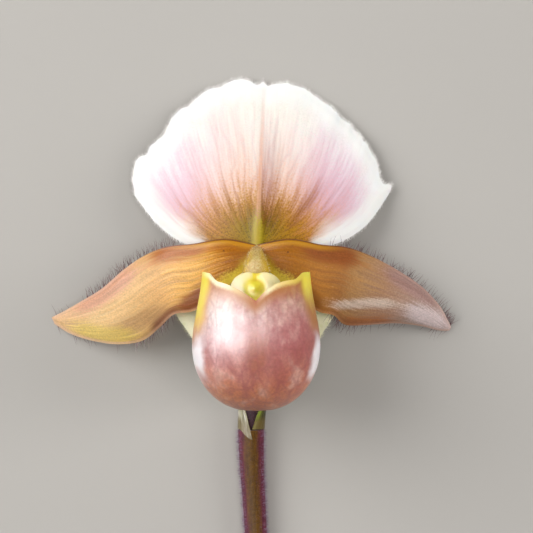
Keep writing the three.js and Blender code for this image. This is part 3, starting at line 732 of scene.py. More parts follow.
RIGHT_TONES = dict(
    ground=[(0.0, "#9C5E06"), (0.13, "#A46612"), (0.2, "#AC7230"), (0.27, "#A87136"), (0.34, "#A26E3E"),
            (0.41, "#AC8050"), (0.48, "#A9815A"), (0.55, "#A78064"), (0.63, "#AC8B78"), (0.75, "#AE9486"),
            (0.85, "#BCA098"), (0.95, "#C8B2AC")],
    edge="#B07E58",
    patches=[
        ([(9, 0.6), (14, -0.4), (19.5, -1.4), (24, -3.2)], 2.5, "#8A4A22", 0.9),
        ([(27, -3.6), (31, -5.8), (38, -10.2), (42.5, -14.4)], 2.2, "#A07E78", 0.8),
        ([(17.5, -14), (20.5, -15.8), (26, -16), (32, -15.6)], 1.5, "#A06238", 0.9),
        # the next two are painted sheen: a silvery patch towards the tip and a silvery streak along the lower
        # middle
        ([(33, -13), (37, -14.4), (41, -16.2), (43.6, -17.6)], 2.5, "#D4C2C0", 0.9),
        ([(14.6, -11.6), (18, -12.1), (22, -12), (26, -11.8), (30, -12), (34, -12.8)], 1.3, "#D4C0B0", 0.8),
        # dark brown beside the pouch, partly the petal's own colour and partly painted shade of the pouch
        ([(10.5, -8.2), (12.5, -11), (14, -13)], 2.0, "#86501C", 0.9),
    ])


def petal_skin(name, colours, tones):
    """Satin petal skin: copper ground with soft red-brown streaks along it, golden and mauve patches, silvery
    patches of painted sheen, dark patches partly of painted shade, and a yellow foot."""
    material, node, uv, spot = skin(name, 0.4, specular=0.16, subsurface=0.12, sheen=0.04)
    share = node("SeparateXYZ", (uv,))
    across, along = share.outputs["X"], share.outputs["Y"]
    inset, hub = (node("Attribute", attribute_name=key).outputs["Fac"] for key in ("inset", "hub"))

    # streaks about 0.6 mm wide and 8 mm long, bands three times as wide, and grain of 0.3 mm
    streak, band = (
        node("TexNoise", (node("Mapping", {"Vector": uv, "Scale": scale}), 1.0, detail, roughness))
        for scale, detail, roughness in (((40, 5.5, 1), 4.0, 0.6), ((13, 2.6, 1), 2.0, 0.5)))
    grain = node("TexNoise", (spot, 2600.0, 3.0))

    run = node("Math", (along, node("MapRange", (streak, *NOISE, 0.06, -0.06))), **SUM)
    ground = node("ValToRGB", (run,), stops=tones["ground"])
    ragged = [(streak, 1.1), (grain, 0.4)]
    for i, (_, _, code, strength) in enumerate(tones["patches"]):
        patch = node("Attribute", attribute_name=f"patch_{i}").outputs["Fac"]
        ground = layer(node, ground, code, patch, 0.9, 1.65, strength, ragged)

    # the last half millimetre of the lower margin
    lower = node("MapRange", (across, 0.6, 0.7))
    ground = layer(node, ground, tones["edge"], inset, 1.0 * MM, 0.3 * MM, 0.35, within=[lower])

    # red-brown veins, plainest near the foot
    reach = node("MapRange", (along, 0.1, 0.55, 0.36, 0.16))
    ground = layer(node, ground, colours.petal_vein, band, 0.46, 0.7, within=[reach])
    mottle = node("Math", (streak, grain), **SUM)
    mottle = node("MapRange", (mottle, 0.75, 1.25, 0.82, 1.17))
    ground = node("Mix", (1.0, ground, mottle), **TINT)

    # foot: golden beside the pouch, dull gold round the column, a few brown spots above
    near = node("MapRange", (along, 0.17, 0.09), **SOFT)
    ground = layer(node, ground, "#F4DC52", across, 0.78, 1.05, 0.95, [(grain, 0.4)], [near])
    ground = layer(node, ground, "#D2B02C", hub, 6.4 * MM, 4.0 * MM, 0.9, [(grain, 2.4 * MM)])
    spots = node("TexVoronoi", (spot, 1 / (1.5 * MM)))
    placed = node("ValToRGB", (along,), stops=[(0.085, 0), (0.095, 1), (0.115, 1), (0.125, 0)])
    upper = node("MapRange", (across, 0.5, 0.4))
    ground = layer(node, ground, "#552A12", spots, 0.22, 0.1, 0.7, within=[placed, upper], soft=False)

    # margins: a lighter band 1 mm wide near the foot above, pale further out, and a thin purple line above
    above = node("ValToRGB", (across,), stops=[(0.4, 1), (0.5, 0)])
    inner = node("MapRange", (along, 0.36, 0.18), **SOFT)
    ground = layer(node, ground, "#CC9420", inset, 1.7 * MM, 0.6 * MM, 0.6, within=[above, inner])
    outer = node("MapRange", (along, 0.45, 0.6))
    ground = layer(node, ground, "#D8B2A2", inset, 0.9 * MM, 0.2 * MM, 0.3, within=[outer])
    near = node("MapRange", (along, 0.5, 0.35))
    ground = layer(node, ground, "#5A2A22", inset, 0.32 * MM, 0.14 * MM, 0.75, (), [near, above], soft=False)

    gloss = node("MapRange", (mottle, 0.82, 1.17, 0.5, 0.34))
    relief = node("Math", (streak, 0.8, grain), **SCALED_SUM)
    return finish(material, {"Base Color": ground, "Roughness": gloss}, relief, 0.5, 0.15)


def pouch_skin(colours):
    """Glossy waxy skin, like polished leather: rose with a soft darker marbling, pale above with partly
    painted glare, a painted reflection on the lower flanks, tan at the toe, yellow at the sides and ears, and
    a cream edge partly painted with highlight and shadow."""
    material, node, _, spot = skin(
        "glossy pouch skin", 0.45, specular=0.35, subsurface=0.15, coat_roughness=0.48)
    axes = node("SeparateXYZ", (spot,))
    x, height, z = (axes.outputs[axis] for axis in "XYZ")
    turn, to_rim, blush = (node("Attribute", attribute_name=name).outputs["Fac"]
                           for name in ("sideways", "to_rim", "blush"))

    # marbling: soft upright blotches about 3 mm long, a net of finer veins, and grain
    blotches, meshes = (node("Mapping", {"Vector": spot, "Scale": scale})
                        for scale in ((330, 170, 240), (560, 260, 330)))
    marble = node("TexNoise", {"Vector": blotches, "Scale": 1.0, "Detail": 3.0, "Distortion": 0.5})
    net = node("TexVoronoi", (meshes, 1.0), feature="DISTANCE_TO_EDGE")
    net = node("MapRange", (net, 0, 0.2, 1, 0), **SOFT)
    cloud, grain = (node("TexNoise", (spot, scale, 3.0)) for scale in (150.0, 1700.0))

    # ground from toe to mouth, paler on the left than on the right and pale above, partly the pouch's own
    #     # colour and partly painted glare of the light from the upper left
    rise = node("Math", (cloud, 8 * MM, height), **SCALED_SUM)
    way = node("MapRange", (rise, -1.5 * MM, 29 * MM))
    left = node("ValToRGB", (way,), stops=[
        (0.0, "#CC7A48"), (0.15, "#CC7C50"), (0.26, "#D48E7A"), (0.37, "#D89A92"), (0.48, "#CA9A9A"),
        (0.6, "#CFB0AE"), (0.71, "#D6C2BC"), (0.8, "#D0B2A4"), (0.92, "#C49070")])
    right = node("ValToRGB", (way,), stops=[
        (0.0, "#CC784A"), (0.15, "#CA7A54"), (0.26, "#BE7058"), (0.37, "#B57062"), (0.48, colours.rose),
        (0.6, "#B87874"), (0.71, "#C4948A"), (0.8, "#C09480"), (0.92, "#BC8A5C")])
    ground = layer(node, left, right, x, -6 * MM, 11 * MM, ragged=[(cloud, 5 * MM)])
    ground = layer(node, ground, "#A0524A", marble, 0.54, 0.34, 0.6, soft=False)
    ground = layer(node, ground, "#DDB4A4", marble, 0.53, 0.7, 0.5, soft=False)
    ground = layer(node, ground, "#9A4622", blush, 0.35, 1.1, 0.75, [(marble, 0.5)])
    threads = node("Math", (net, cloud), **PRODUCT)
    threads = node("Math", (threads, 0.6), **PRODUCT)
    ground = node("Mix", (threads, ground, "#9E5054"), **RGBA)
    fine = node("MapRange", (grain, *NOISE, 0.88, 1.12))
    ground = node("Mix", (1.0, ground, fine), **TINT)

    # behind, the rose gives way to yellow-green
    ground = layer(node, ground, "#C2A862", z, 29.5 * MM, 20 * MM, 0.8, [(marble, 5 * MM)])

    # painted reflection: a pale band on the lower flanks, wider on the left, where the glossy skin catches
    # the light
    flank = node("Math", (cloud, 0.2, turn), **SCALED_SUM)
    wider_reflection = node("MapRange", (x, -4 * MM, 4 * MM, 0.1, 0))
    flank = node("Math", (flank, wider_reflection), **SUM)
    level = node("MapRange", (rise, 0, 20 * MM))
    reflection_belt = node("ValToRGB", (level,), stops=[(0.2, 0), (0.42, 1), (0.62, 1), (0.84, 0)])
    ground = layer(node, ground, "#FAF2F4", flank, 0.98, 1.12, ragged=[(marble, 0.16)], within=[reflection_belt])

    # brown-orange below the edge, then the sides: orange, and clear yellow towards the ears
    inward = node("MapRange", (turn, 0.85, 0.6))
    ground = layer(node, ground, "#B0703C", to_rim, 6.0 * MM, 2.6 * MM, 0.9, [(cloud, 3 * MM)], [inward])
    # the yellow is broad on the right shoulder, and comes down lower on the left side
    rightwards = node("MapRange", (x, -2 * MM, 5 * MM))
    shoulder = node("MapRange", (height, 15 * MM, 26 * MM, 0, 0.12))
    shoulder = node("Math", (shoulder, rightwards), **PRODUCT)
    aside = node("Math", (cloud, 0.12, turn), **SCALED_SUM)
    aside = node("Math", (aside, shoulder), **SUM)
    aside = node("Math", (rightwards, -0.04, aside), **SCALED_SUM)
    level = node("MapRange", (rise, 13 * MM, 20 * MM), **SOFT)
    tan = node("Mix", (rightwards, "#DCA05C", "#AE6E30"), **RGBA)
    ground = layer(node, ground, tan, aside, 0.76, 0.95, within=[level])
    start = node("Math", (rightwards, -4 * MM, height), **SCALED_SUM)
    start = node("Math", (marble, 7 * MM, start), **SCALED_SUM)
    level = node("MapRange", (start, 15 * MM, 22.5 * MM), **SOFT)
    ground = layer(node, ground, colours.yellow, aside, 0.84, 0.98, within=[level])

    # a soft cream and yellow border: whitish on the upper slopes, partly a painted highlight, and red-brown
    #     # at the cleft, partly a painted shadow line
    place_across = node("MapRange", (x, -12 * MM, 12 * MM))
    cream = node("ValToRGB", (place_across,), stops=[
        (0.02, "#F4E878"), (0.1, "#FAF4C4"), (0.2, "#F8EAC0"), (0.31, "#D8B470"), (0.42, "#B98450"),
        (0.5, "#B06440"), (0.55, "#D09C74"), (0.61, "#FBEABA"), (0.73, "#EFD084"), (0.88, "#E0C650"),
        (0.97, "#E8DC50")])
    ground = layer(node, ground, cream, to_rim, 1.9 * MM, 0.6 * MM, ragged=[(grain, 0.5 * MM)])

    # the turned edge has less gloss
    gloss = node("MapRange", (to_rim, 1.5 * MM, 5 * MM))
    relief = node("Math", (net, -0.2, grain), **SCALED_SUM)
    relief = node("Math", (marble, 0.3, relief), **SCALED_SUM)
    bump = node("Bump", {"Height": relief, "Strength": 0.25, "Distance": 0.12 * MM})
    return finish(material, {"Base Color": ground, "Coat Weight": gloss, "Normal": bump, "Coat Normal": bump})


def speckled_skin(name, ground_code, speck_code, speck_mm, cover, roughness=0.5):
    """Plant skin of one ground colour with small specks and a soft cloudiness, for the plainer organs."""
    material, node, _, spot = skin(name, roughness, subsurface=0.15)
    shade = node("MapRange", (node("TexNoise", (spot, 300.0, 3.0)), *NOISE, 0.86, 1.08))
    ground = node("Mix", (1.0, ground_code, shade), **TINT)
    specks = node("TexVoronoi", (spot, 1 / (speck_mm * MM)))
    ground = layer(node, ground, speck_code, specks, 0.36, 0.2, cover, soft=False)
    grain = node("TexNoise", (spot, 1800.0, 2.0))
    return finish(material, {"Base Color": ground}, grain, 0.4, 0.15)


def shield_skin(colours):
    """Waxy cream skin with a clear yellow groove and boss, and painted shade in a darker ring round the
    boss's foot and at the top of the groove.
    """
    material, node, _, spot = skin("waxy shield skin", 0.45, subsurface=0.25)
    groove, olive = (node("Attribute", attribute_name=name).outputs["Fac"] for name in ("groove", "olive"))
    cloud = node("TexNoise", (spot, 520.0, 3.0))
    ground = layer(node, colours.cream, "#FCE83C", groove, 0.35, 0.95, ragged=[(cloud, 0.4)])
    # painted shade: the ring on the boss's upper right and the groove's upper end
    shade = node("Math", (olive, 0.5), use_clamp=True, **PRODUCT)
    ground = node("Mix", (shade, ground, "#DCBE14"), **RGBA)
    grain = node("TexNoise", (spot, 2200.0, 2.0))
    return finish(material, {"Base Color": ground}, grain, 0.35, 0.1)


def column_skin():
    """Downy skin: pale in the middle with rosy grain, yellow at the flanks and rosy at the foot."""
    material, node, _, spot = skin("downy column skin", 0.6, subsurface=0.2)
    flank, foot = (node("Attribute", attribute_name=name).outputs["Fac"] for name in ("flank", "foot"))
    grain = node("TexNoise", (spot, 2400.0, 2.0))
    pale = node("ValToRGB", (grain,), stops=[(0.36, "#B8944A"), (0.5, "#C4A858"), (0.64, "#D0BC80")])
    ground = layer(node, pale, "#BE9A22", flank, 0.48, 1.05, ragged=[(grain, 0.5)])
    foot = node("Math", (foot, 0.8), **PRODUCT)
    ground = node("Mix", (foot, ground, "#A87848"), **RGBA)
    return finish(material, {"Base Color": ground}, grain, 0.6, 0.2)


def stem_skin(name, side_colour, top_colour, low, high):
    """Matt stem skin with fine lengthwise grooves, one colour on the flanks and another on the side that
    looks up, which on the stalk is partly painted light. low and high are how far the skin must face up
    for the change."""
    material, node, _, spot = skin(name, 0.7, specular=0.2, subsurface=0.05, sheen=0.1)
    facing = node("Attribute", attribute_name="facing").outputs["Fac"]
    fibre = node("TexNoise", (node("Mapping", {"Vector": spot, "Scale": (2600, 110, 2600)}), 1.0, 3.0))
    specks = node("TexNoise", (spot, 1500.0, 2.0))
    lift = 0.17  # what the ragged edge adds on average
    ground = layer(node, side_colour, top_colour, facing, low + lift, high + lift, ragged=[(fibre, 0.35)])
    shade = node("Math", (fibre, specks), **PRODUCT)
    shade = node("MapRange", (shade, 0.12, 0.38, 0.62, 1.3))
    ground = node("Mix", (1.0, ground, shade), **TINT)
    return finish(material, {"Base Color": ground}, fibre, 0.6, 0.2)


def bract_skin():
    """Thin leaf skin: whitish and veined on its left margin, yellow-green on its right one, dark between."""
    material, node, uv, _ = skin("bract leaf skin", 0.55, subsurface=0.1, sheen=0.1)
    share = node("SeparateXYZ", (uv,))
    inset = node("Attribute", attribute_name="inset").outputs["Fac"]
    streak = node("TexNoise", (node("Mapping", {"Vector": uv, "Scale": (34, 5, 1)}), 1.0, 3.0))
    pale, green = (node("ValToRGB", (streak,), stops=stops) for stops in (
        [(0.36, "#4A4220"), (0.5, "#8E8862"), (0.62, "#DAD6C6")],
        [(0.38, "#2E2A12"), (0.5, "#3F3C16"), (0.64, "#565A22")]))
    right = node("MapRange", (share.outputs["X"], 0.4, 0.6))
    ground = node("Mix", (right, pale, green), **RGBA)
    ground = layer(node, ground, "#7E8C2C", inset, 0.9 * MM, 0.4 * MM, within=[right])
    ground = layer(node, ground, "#5A3A48", inset, 1.6 * MM, 4.0 * MM, 0.8, [(streak, -2 * MM)])
    ground = layer(node, ground, "#665426", share.outputs["Y"], 0.14, 0.08, 0.85, soft=False)
    return finish(material, {"Base Color": ground}, streak, 0.8, 0.25)


def hair_skin(name, code, other):
    """Plant hair, drawn a little thicker than life so that it shows, with some hairs of a second colour."""
    material, node, _, spot = skin(name, 0.45, specular=0.4)
    change = node("TexNoise", (spot, 700.0, 2.0))
    return finish(material, {"Base Color": layer(node, code, other, change, 0.4, 0.6, soft=False)})


def table_top(colours):
    """Painted board with a dead matt finish: even, with the faintest cloudiness."""
    material, node, _, spot = skin("matt painted board", 0.8, specular=0.25)
    shade = node("MapRange", (node("TexNoise", (spot, 9.0, 3.0)), *NOISE, 0.985, 1.015))
    return finish(material, {"Base Color": node("Mix", (1.0, colours.table, shade), **TINT)})


# ---------------------------------------------------------------- pieces
def places(piece):
    """Where the piece's vertices lie in bloom coordinates."""
    return corners(piece) / MM - (0, HUB_Y, 0)


def inset_of(points, surface, count, start=0.0):
    """Distance of each point to the nearest margin of a leaf, whose margins begin at start along it."""
    t, zero, one = np.linspace(0, 1, count), np.zeros(count), np.ones(count)
    across, along = np.concatenate([t, t, zero, one]), np.concatenate([zero, one, t, t])
    outline = surface(across[along > start], along[along > start])
    nearest = np.full(len(points), np.inf)
    block = 40  # margin spots compared at a time, to spare memory
    for first in range(0, len(outline), block):
        gap = np.linalg.norm(points[:, None, :] - outline[None, first:first + block, :], axis=2)
        nearest = np.minimum(nearest, gap.min(axis=1))
    return nearest


def ball(name, segments, rings, **laid):
    """A sphere with a radius of one, unless it is laid with a scale."""
    bpy.ops.object.select_all(action="DESELECT")
    bpy.ops.mesh.primitive_uv_sphere_add(segments=segments, ring_count=rings, radius=1, **laid)
    piece = bpy.context.object
    piece.name = piece.data.name = name
    return piece


def round_angles(sides):
    """The angle of each side of a swept piece, from its top on."""
    return np.pi / 2 + 2 * np.pi * np.arange(sides) / sides


def model_column():
    """The column, a leaning stalk with a rounded end, the stigma fused to its underside, and its down."""
    stations, sides = 26, 48
    t = np.linspace(0, 1, stations)
    rounded = np.sqrt(np.clip(1 - smooth(0.8, 1.0, t) ** 2 * 0.75, 0.05, 1))
    column = sweep("column_skin", through(COLUMN_PATH)(t), through(COLUMN_RADIUS)(t)[:, 0] * rounded, sides)
    stigma = ball("stigma", 40, 20, location=place(STIGMA_CENTRE), rotation=(0.75, 0, 0),
                  scale=[half * MM for half in STIGMA_SIZE])
    bpy.ops.object.transform_apply(location=True, rotation=True, scale=True)
    column.select_set(True)
    bpy.context.view_layer.objects.active = column
    bpy.ops.object.modifier_add(type="BOOLEAN")
    column.modifiers[-1].operation = "UNION"
    column.modifiers[-1].object = stigma
    bpy.ops.object.modifier_apply(modifier=column.modifiers[-1].name)
    bpy.data.objects.remove(stigma)
    x, y, _ = places(column).T
    note(column, "flank", abs(x) / lerp(1.2, 3.2, smooth(0.8, -5.5, y)) + 0.35 * smooth(-3.5, -6.5, y))
    note(column, "foot", smooth(-0.6, 0.8, y))
    column.data.materials.clear()
    settle(column, [column_skin()], "column", "column")

    rng = np.random.default_rng(SEED + 5)
    spots, normals = scattered(column, rng, count=1500, keep=lambda p, n: (n[:, 2] > -0.2) & (p[:, 2] > 16.6))
    look = hair_skin("column down", "#E2D2A0", "#CBA860")
    coat_of_hairs("column_down", "column", look, spots, normals, rng,
                  longest=1, reach=(0.25, 0.6), stray=0.4, width=0.06, curl=0.2)


def model_shield(colours):
    """The shield, made from a ball: a squarish outline with two notches, and a boss between low lobes."""
    shield = ball("staminode_skin", 96, 48)
    across, along, up = corners(shield).T
    reach, angle = np.hypot(across, along), np.arctan2(along, across)
    outline = (abs(np.cos(angle)) ** SHIELD_POWER + abs(np.sin(angle)) ** SHIELD_POWER) ** (-1 / SHIELD_POWER)
    outline *= 1 - 0.10 * gauss(angle - np.pi / 2, 0.22)
    outline *= 1 - 0.16 * gauss(angle + np.pi / 2, 0.2) + 0.1 * gauss(angle + np.pi / 2, 0.07)
    x = SHIELD_SIZE[0] * outline * reach * np.cos(angle)
    y = SHIELD_SIZE[1] * outline * reach * np.sin(angle)
    from_boss = np.hypot(x + 0.3, y - 0.9)
    boss = 0.5 * gauss(from_boss, 1.0) - 0.1 * gauss(np.hypot(x, y - 0.8) - 1.9, 0.6)
    lobes = 0.25 * gauss(abs(x) - 3.0, 1.6) * gauss(y - 1.0, 2.4) - 0.25 * gauss(x, 0.9) * smooth(1.2, 3.2, y)
    cx, cy, cz = SHIELD_CENTRE
    z = cz - 0.28 * y + boss + lobes + 1.3 * smooth(0.5, -3.8, y) - 0.011 * x * x - 0.012 * y * y + 0.42 * up
    note(shield, "groove", np.maximum.reduce([
        gauss(x, 0.9), gauss(from_boss - 0.4, 2.3), smooth(0.2, -1.6, y) * gauss(x, 3.4)]))
    # painted shade on the boss's upper right, away from the light, and at the top of the groove
    ring = gauss(np.hypot(x + 0.1, y - 1.1) - 1.45, 0.45) * smooth(-1.6, 0.6, x + y - 1.1)
    note(shield, "olive", 1.2 * gauss(x, 1.0) * smooth(1.6, 3.2, y) + ring)
    shape(shield, place(np.column_stack([x + cx, y + cy, z])))
    settle(shield, [shield_skin(colours)], "staminode", "staminode")


def model_pollen():
    """The two pollen masses, each with a groove over its upper side."""
    for side, name in ((-1, "left"), (1, "right")):
        pollen = ball(f"anther_{name}_skin", 32, 20)
        co = corners(pollen)
        co *= 1 - 0.14 * gauss(co[:, :1], 0.22) * (co[:, 2:] > -0.4)
        pollen.data.vertices.foreach_set("co", co.ravel())
        pollen.scale = [half * MM for half in POLLEN_SIZE]
        pollen.rotation_euler = (0.5, 0, 0)
        pollen.location = place((side * POLLEN_CENTRE[0], *POLLEN_CENTRE[1:]))
        bpy.ops.object.transform_apply(location=True, rotation=True, scale=True)
        sticky = speckled_skin(f"sticky pollen {name}", "#C79A3E", "#9A6E22", 0.5, 0.5, roughness=0.3)
        settle(pollen, [sticky], "anther", f"anther_{name}")


def model_ovary(sizes, rng):
    """The ribbed ovary, maroon with an olive end at the hub, and its hairs."""
    stations, sides = 45, 72
    t = np.linspace(0, 1, stations)
    centres = through(OVARY_PATH)(t)
    ovary = sweep("ovary_skin", centres, through(OVARY_RADIUS)(t)[:, 0], sides)
    ribs, t = np.cos(OVARY_RIBS * round_angles(sides))[None, :], t[:, None]
    swell(ovary, centres, sides, 1 + 0.07 * ribs * (smooth(0, 0.2, t) * smooth(1, 0.8, t)))
    note(ovary, "facing", smooth(0.8, 1.0, t) * 1.6 + 0.3 * ribs)
    settle(ovary, [stem_skin("ribbed ovary skin", "#3E242C", "#8E8232", 0.2, 1.2)], "ovary", "ovary")
    spots, normals = scattered(ovary, rng, count=1500, keep=lambda p, n: (
        p[:, 2] > 0.6) & (p[:, 1] < -2.5) & (abs(n[:, 1]) < 0.5))
    look = hair_skin("ovary hair", "#8A7078", "#5A3E48")
    coat_of_hairs("ovary_hairs", "ovary", look, spots, normals, rng,
                  longest=sizes.stalk_hair / MM, reach=(0.5, 1.1), stray=0.35, width=0.07, curl=0.2)


def model_bract(sizes):
    """The small boat-shaped leaf that clasps the join of ovary and stalk."""
    piece, _, _ = blank("bract_skin", 64, 72, bract_surface)
    inset = inset_of(places(piece), bract_surface, count=200)
    note(piece, "inset", inset * MM)
    thicken(piece, sizes.bract_wall, lerp(0.4, 1.0, smooth(0, 1.5, inset)))
    settle(piece, [bract_skin()], "bract", "bract")


def model_stalk(sizes, colours, rng):
    """The stalk with its plain cut, faint grooves and two kinds of hairs."""
    stations, sides, grooves = 52, 56, 9
    t = np.linspace(0, 1, stations)
    centres, angle = through(STALK_PATH)(t), round_angles(sides)
    stalk = sweep("stalk_skin", centres, STALK_RADIUS * lerp(1, STALK_SWELL, smooth(0.4, 1, t)), sides)
    swell(stalk, centres, sides, np.tile(1 + 0.012 * np.sin(grooves * angle), stations))
    # the olive top stripe is partly the stalk's own colour and partly painted light; both tones are darkened
    # as painted shade
    note(stalk, "facing", np.tile(np.sin(angle), stations))
    stalk.data.materials.append(stem_skin("downy stalk skin", colours.purple, colours.olive, 0.66, 0.98))
    stalk.data.materials.append(speckled_skin("cut pith", "#C8C79A", "#8C9A5A", 0.45, 0.6, roughness=0.4))
    cut = min(stalk.data.polygons, key=lambda p: p.center.y)
    cut.material_index = 1
    settle(stalk, [], "stalk", "stalk")
    spots, normals = scattered(
        stalk, rng, sizes.hair_count, keep=lambda p, n: (p[:, 2] > 0.5) & (abs(n[:, 1]) < 0.5))
    # the light catches the pale hairs of the flanks; those on top are short and dark
    flank = normals[:, 2] < 0.62
    for name, part, reach, codes in (
            ("stalk_hairs", flank, (0.6, 1.2), ("#A88CA6", "#785870")),
            ("stalk_down", ~flank, (0.25, 0.5), ("#7A4A58", "#6A5024"))):
        look = hair_skin(name.replace("_", " "), *codes)
        coat_of_hairs(name, "stalk", look, spots[part], normals[part], rng,
                      longest=sizes.stalk_hair / MM, reach=reach, stray=0.22, width=0.06, curl=0.08)


# ---------------------------------------------------------------- operators, one for each group of pieces
class ORCHID_OT_dorsal_sepal(bpy.types.Operator):
    """Models the broad domed upper sepal with its fringe of short hairs"""
    bl_idname = "orchid.dorsal_sepal"
    bl_label = "Upper Sepal"

    def execute(self, context):
        sizes, colours = context.scene.orchid_sizes, context.scene.orchid_colours
        piece, across, along = blank("dorsal_sepal_skin", 250, 96, dorsal_surface)
        face_up(piece)
        points = places(piece)
        # the foot isn't a margin, and the white margin narrows down the sides towards the foot
        inset = inset_of(points, dorsal_surface, count=300, start=0.33)
        note(piece, "inset", inset * lerp(2.2, 1, smooth(0.25, 0.5, along)) * MM)
        # the flush is weaker on the left
        from_rib = across - 0.515
        note(piece, "flush", np.where(from_rib < 0, 0.76, 1.0) * abs(from_rib))
        # beside the folds, painted shade lies in a valley along the right of the midrib
        beside = points[:, 0] - midrib_x(points[:, 1])
        note(piece, "beside", beside * MM)
        valley_shade = smooth(-0.2, 0.7, beside) * smooth(6.5, 1.2, beside)
        valley_shade = valley_shade * smooth(0.05, 0.3, along) * smooth(1.0, 0.4, along)
        note(piece, "painted_shade", np.maximum(fold_shade(across, along), 0.95 * valley_shade))
        thicken(piece, sizes.sepal_wall, lerp(0.3, 1.0, smooth(0, 2.5, inset)))
        settle(piece, [dorsal_skin(colours)], "dorsal_sepal", "dorsal_sepal")

        rng = np.random.default_rng(SEED)
        top, side = 2600, 420  # hairs on each margin
        roots, ways = on_margins(
            dorsal_surface, (rng.random(top), 1.0, 0, -0.02),
            (0.0, rng.uniform(0.25, 1, side), 0.01, 0), (1.0, rng.uniform(0.25, 1, side), -0.01, 0))
        roots[:, 2] = np.maximum(roots[:, 2], 0.35)
        look = hair_skin("white fringe hair", "#F2F0EC", "#E4DEDC")
        coat_of_hairs("dorsal_sepal_hairs", "dorsal_sepal", look, roots, ways, rng, longest=sizes.fringe / MM,
                      reach=(0.4, 1.2), stray=0.35, width=0.08, curl=0.15, rise=0.6)
        return {"FINISHED"}


class ORCHID_OT_synsepal(bpy.types.Operator):
    """Models the pale lower sepal behind the pouch"""
    bl_idname = "orchid.synsepal"
    bl_label = "Lower Sepal"

    def execute(self, context):
        sizes = context.scene.orchid_sizes
        piece, across, _ = blank("synsepal_skin", 90, 90, synsepal_surface)
        face_up(piece)
        thin = np.minimum(smooth(0, 0.12, across), smooth(1, 0.88, across))
        thicken(piece, sizes.sepal_wall, lerp(0.4, 1.0, thin))
        look = speckled_skin("lower sepal skin", "#F2F1CC", "#DADD9C", 1.4, 0.35)
        settle(piece, [look], "synsepal", "synsepal")

        rng = np.random.default_rng(SEED + 1)
        side = 260  # hairs on each margin
        roots, ways = on_margins(
            synsepal_surface, (0.0, rng.uniform(0.08, 1, side), 0.02, 0),
            (1.0, rng.uniform(0.08, 1, side), -0.02, 0))
        look = hair_skin("pale fringe hair", "#EDEBD6", "#D8D8B4")
        coat_of_hairs("synsepal_hairs", "synsepal", look, roots, ways, rng, longest=sizes.fringe / MM,
                      reach=(0.5, 1.2), stray=0.4, width=0.07, curl=0.15)
        return {"FINISHED"}


class ORCHID_OT_petals(bpy.types.Operator):
    """Models the two drooping petals with the long hairs on their margins"""
    bl_idname = "orchid.petals"
    bl_label = "Petals"

    def execute(self, context):
        sizes, colours = context.scene.orchid_sizes, context.scene.orchid_colours
        for side, seed, shape_of, tones, hairy_above, hairy_below in (
                ("left", SEED + 2, LEFT_PETAL, LEFT_TONES, (0.3, 0.75), (0.35, 0.6)),
                ("right", SEED + 3, RIGHT_PETAL, RIGHT_TONES, (0.3, 1.0), (0.3, 0.5))):
            surface = petal_surface(shape_of)
            piece, _, _ = blank(f"petal_{side}_skin", 56, 190, surface)
            face_up(piece)
            points = places(piece)
            inset = inset_of(points, surface, count=300)
            note(piece, "inset", inset * MM)
            note(piece, "hub", np.linalg.norm(points[:, :2] - (0, -5.0), axis=1) * MM)
            for i, (line, width, _, _) in enumerate(tones["patches"]):
                note(piece, f"patch_{i}", patch_shade(points[:, :2], line, width))
            thicken(piece, sizes.petal_wall, lerp(0.4, 1.0, smooth(0, 2.0, inset)))
            settle(piece, [petal_skin(f"satin petal skin {side}", colours, tones)], "petal", f"petal_{side}")

            rng = np.random.default_rng(seed)
            # 130 and 34 hairs on the hairy stretches of the upper and the lower margin, few elsewhere
            upper = np.concatenate([rng.uniform(*hairy_above, 130), rng.uniform(0.25, 1, 30)])
            lower = np.concatenate([rng.uniform(*hairy_below, 34), rng.uniform(0.3, 1, 26)])
            roots, ways = on_margins(surface, (0.0, upper, 0.04, 0), (1.0, lower, -0.04, 0))
            roots[:, 2] = np.maximum(roots[:, 2], 0.4)
            look = hair_skin(f"long petal hair {side}", "#5C3E44", "#7C5C5C")
            coat_of_hairs(f"petal_{side}_hairs", "petal", look, roots, ways, rng,
                          longest=sizes.petal_hair / MM, reach=(0.35, 1.0), stray=0.2, width=0.1, curl=0.14,
                          bends=3, rise=0.5)
        return {"FINISHED"}


class ORCHID_OT_lip(bpy.types.Operator):
    """Models the hollow slipper with its cleft rim and two ears"""
    bl_idname = "orchid.lip"
    bl_label = "Slipper"

    def execute(self, context):
        sizes, colours = context.scene.orchid_sizes, context.scene.orchid_colours
        piece, around, _ = blank("lip_skin", 176, 132, lip_surface)
        angle = 2 * np.pi * around - np.pi / 2
        x, y, _ = places(piece).T
        note(piece, "sideways", abs(np.cos(angle)))
        note(piece, "blush", gauss(np.hypot(x / 2.8, (y + 22) / 6.5), 1.0))
        note(piece, "to_rim", (lip_rim(angle) - y) * MM)
        edit(piece, (bpy.ops.mesh.remove_doubles, {"threshold": 0.001 * MM}),
             (bpy.ops.mesh.normals_make_consistent, {"inside": False}))
        to_rim = np.empty(len(piece.data.vertices))
        piece.data.attributes["to_rim"].data.foreach_get("value", to_rim)
        thicken(piece, sizes.lip_wall, lerp(0.5, 1.0, smooth(0, 2.2 * MM, to_rim)), offset=-1.0)
        settle(piece, [pouch_skin(colours)], "lip", "lip")
        return {"FINISHED"}


class ORCHID_OT_column(bpy.types.Operator):
    """Models the column with its stigma, the shield in front of it and the two pollen masses"""
    bl_idname = "orchid.column"
    bl_label = "Column and Shield"

    def execute(self, context):
        model_column()
        model_shield(context.scene.orchid_colours)
        model_pollen()
        return {"FINISHED"}


class ORCHID_OT_stem(bpy.types.Operator):
    """Models the ribbed ovary, the bract that clasps it and the hairy cut stalk"""
    bl_idname = "orchid.stem"
    bl_label = "Ovary, Bract and Stalk"

    def execute(self, context):
        sizes, rng = context.scene.orchid_sizes, np.random.default_rng(SEED + 6)
        model_ovary(sizes, rng)
        model_bract(sizes)
        model_stalk(sizes, context.scene.orchid_colours, rng)
        return {"FINISHED"}


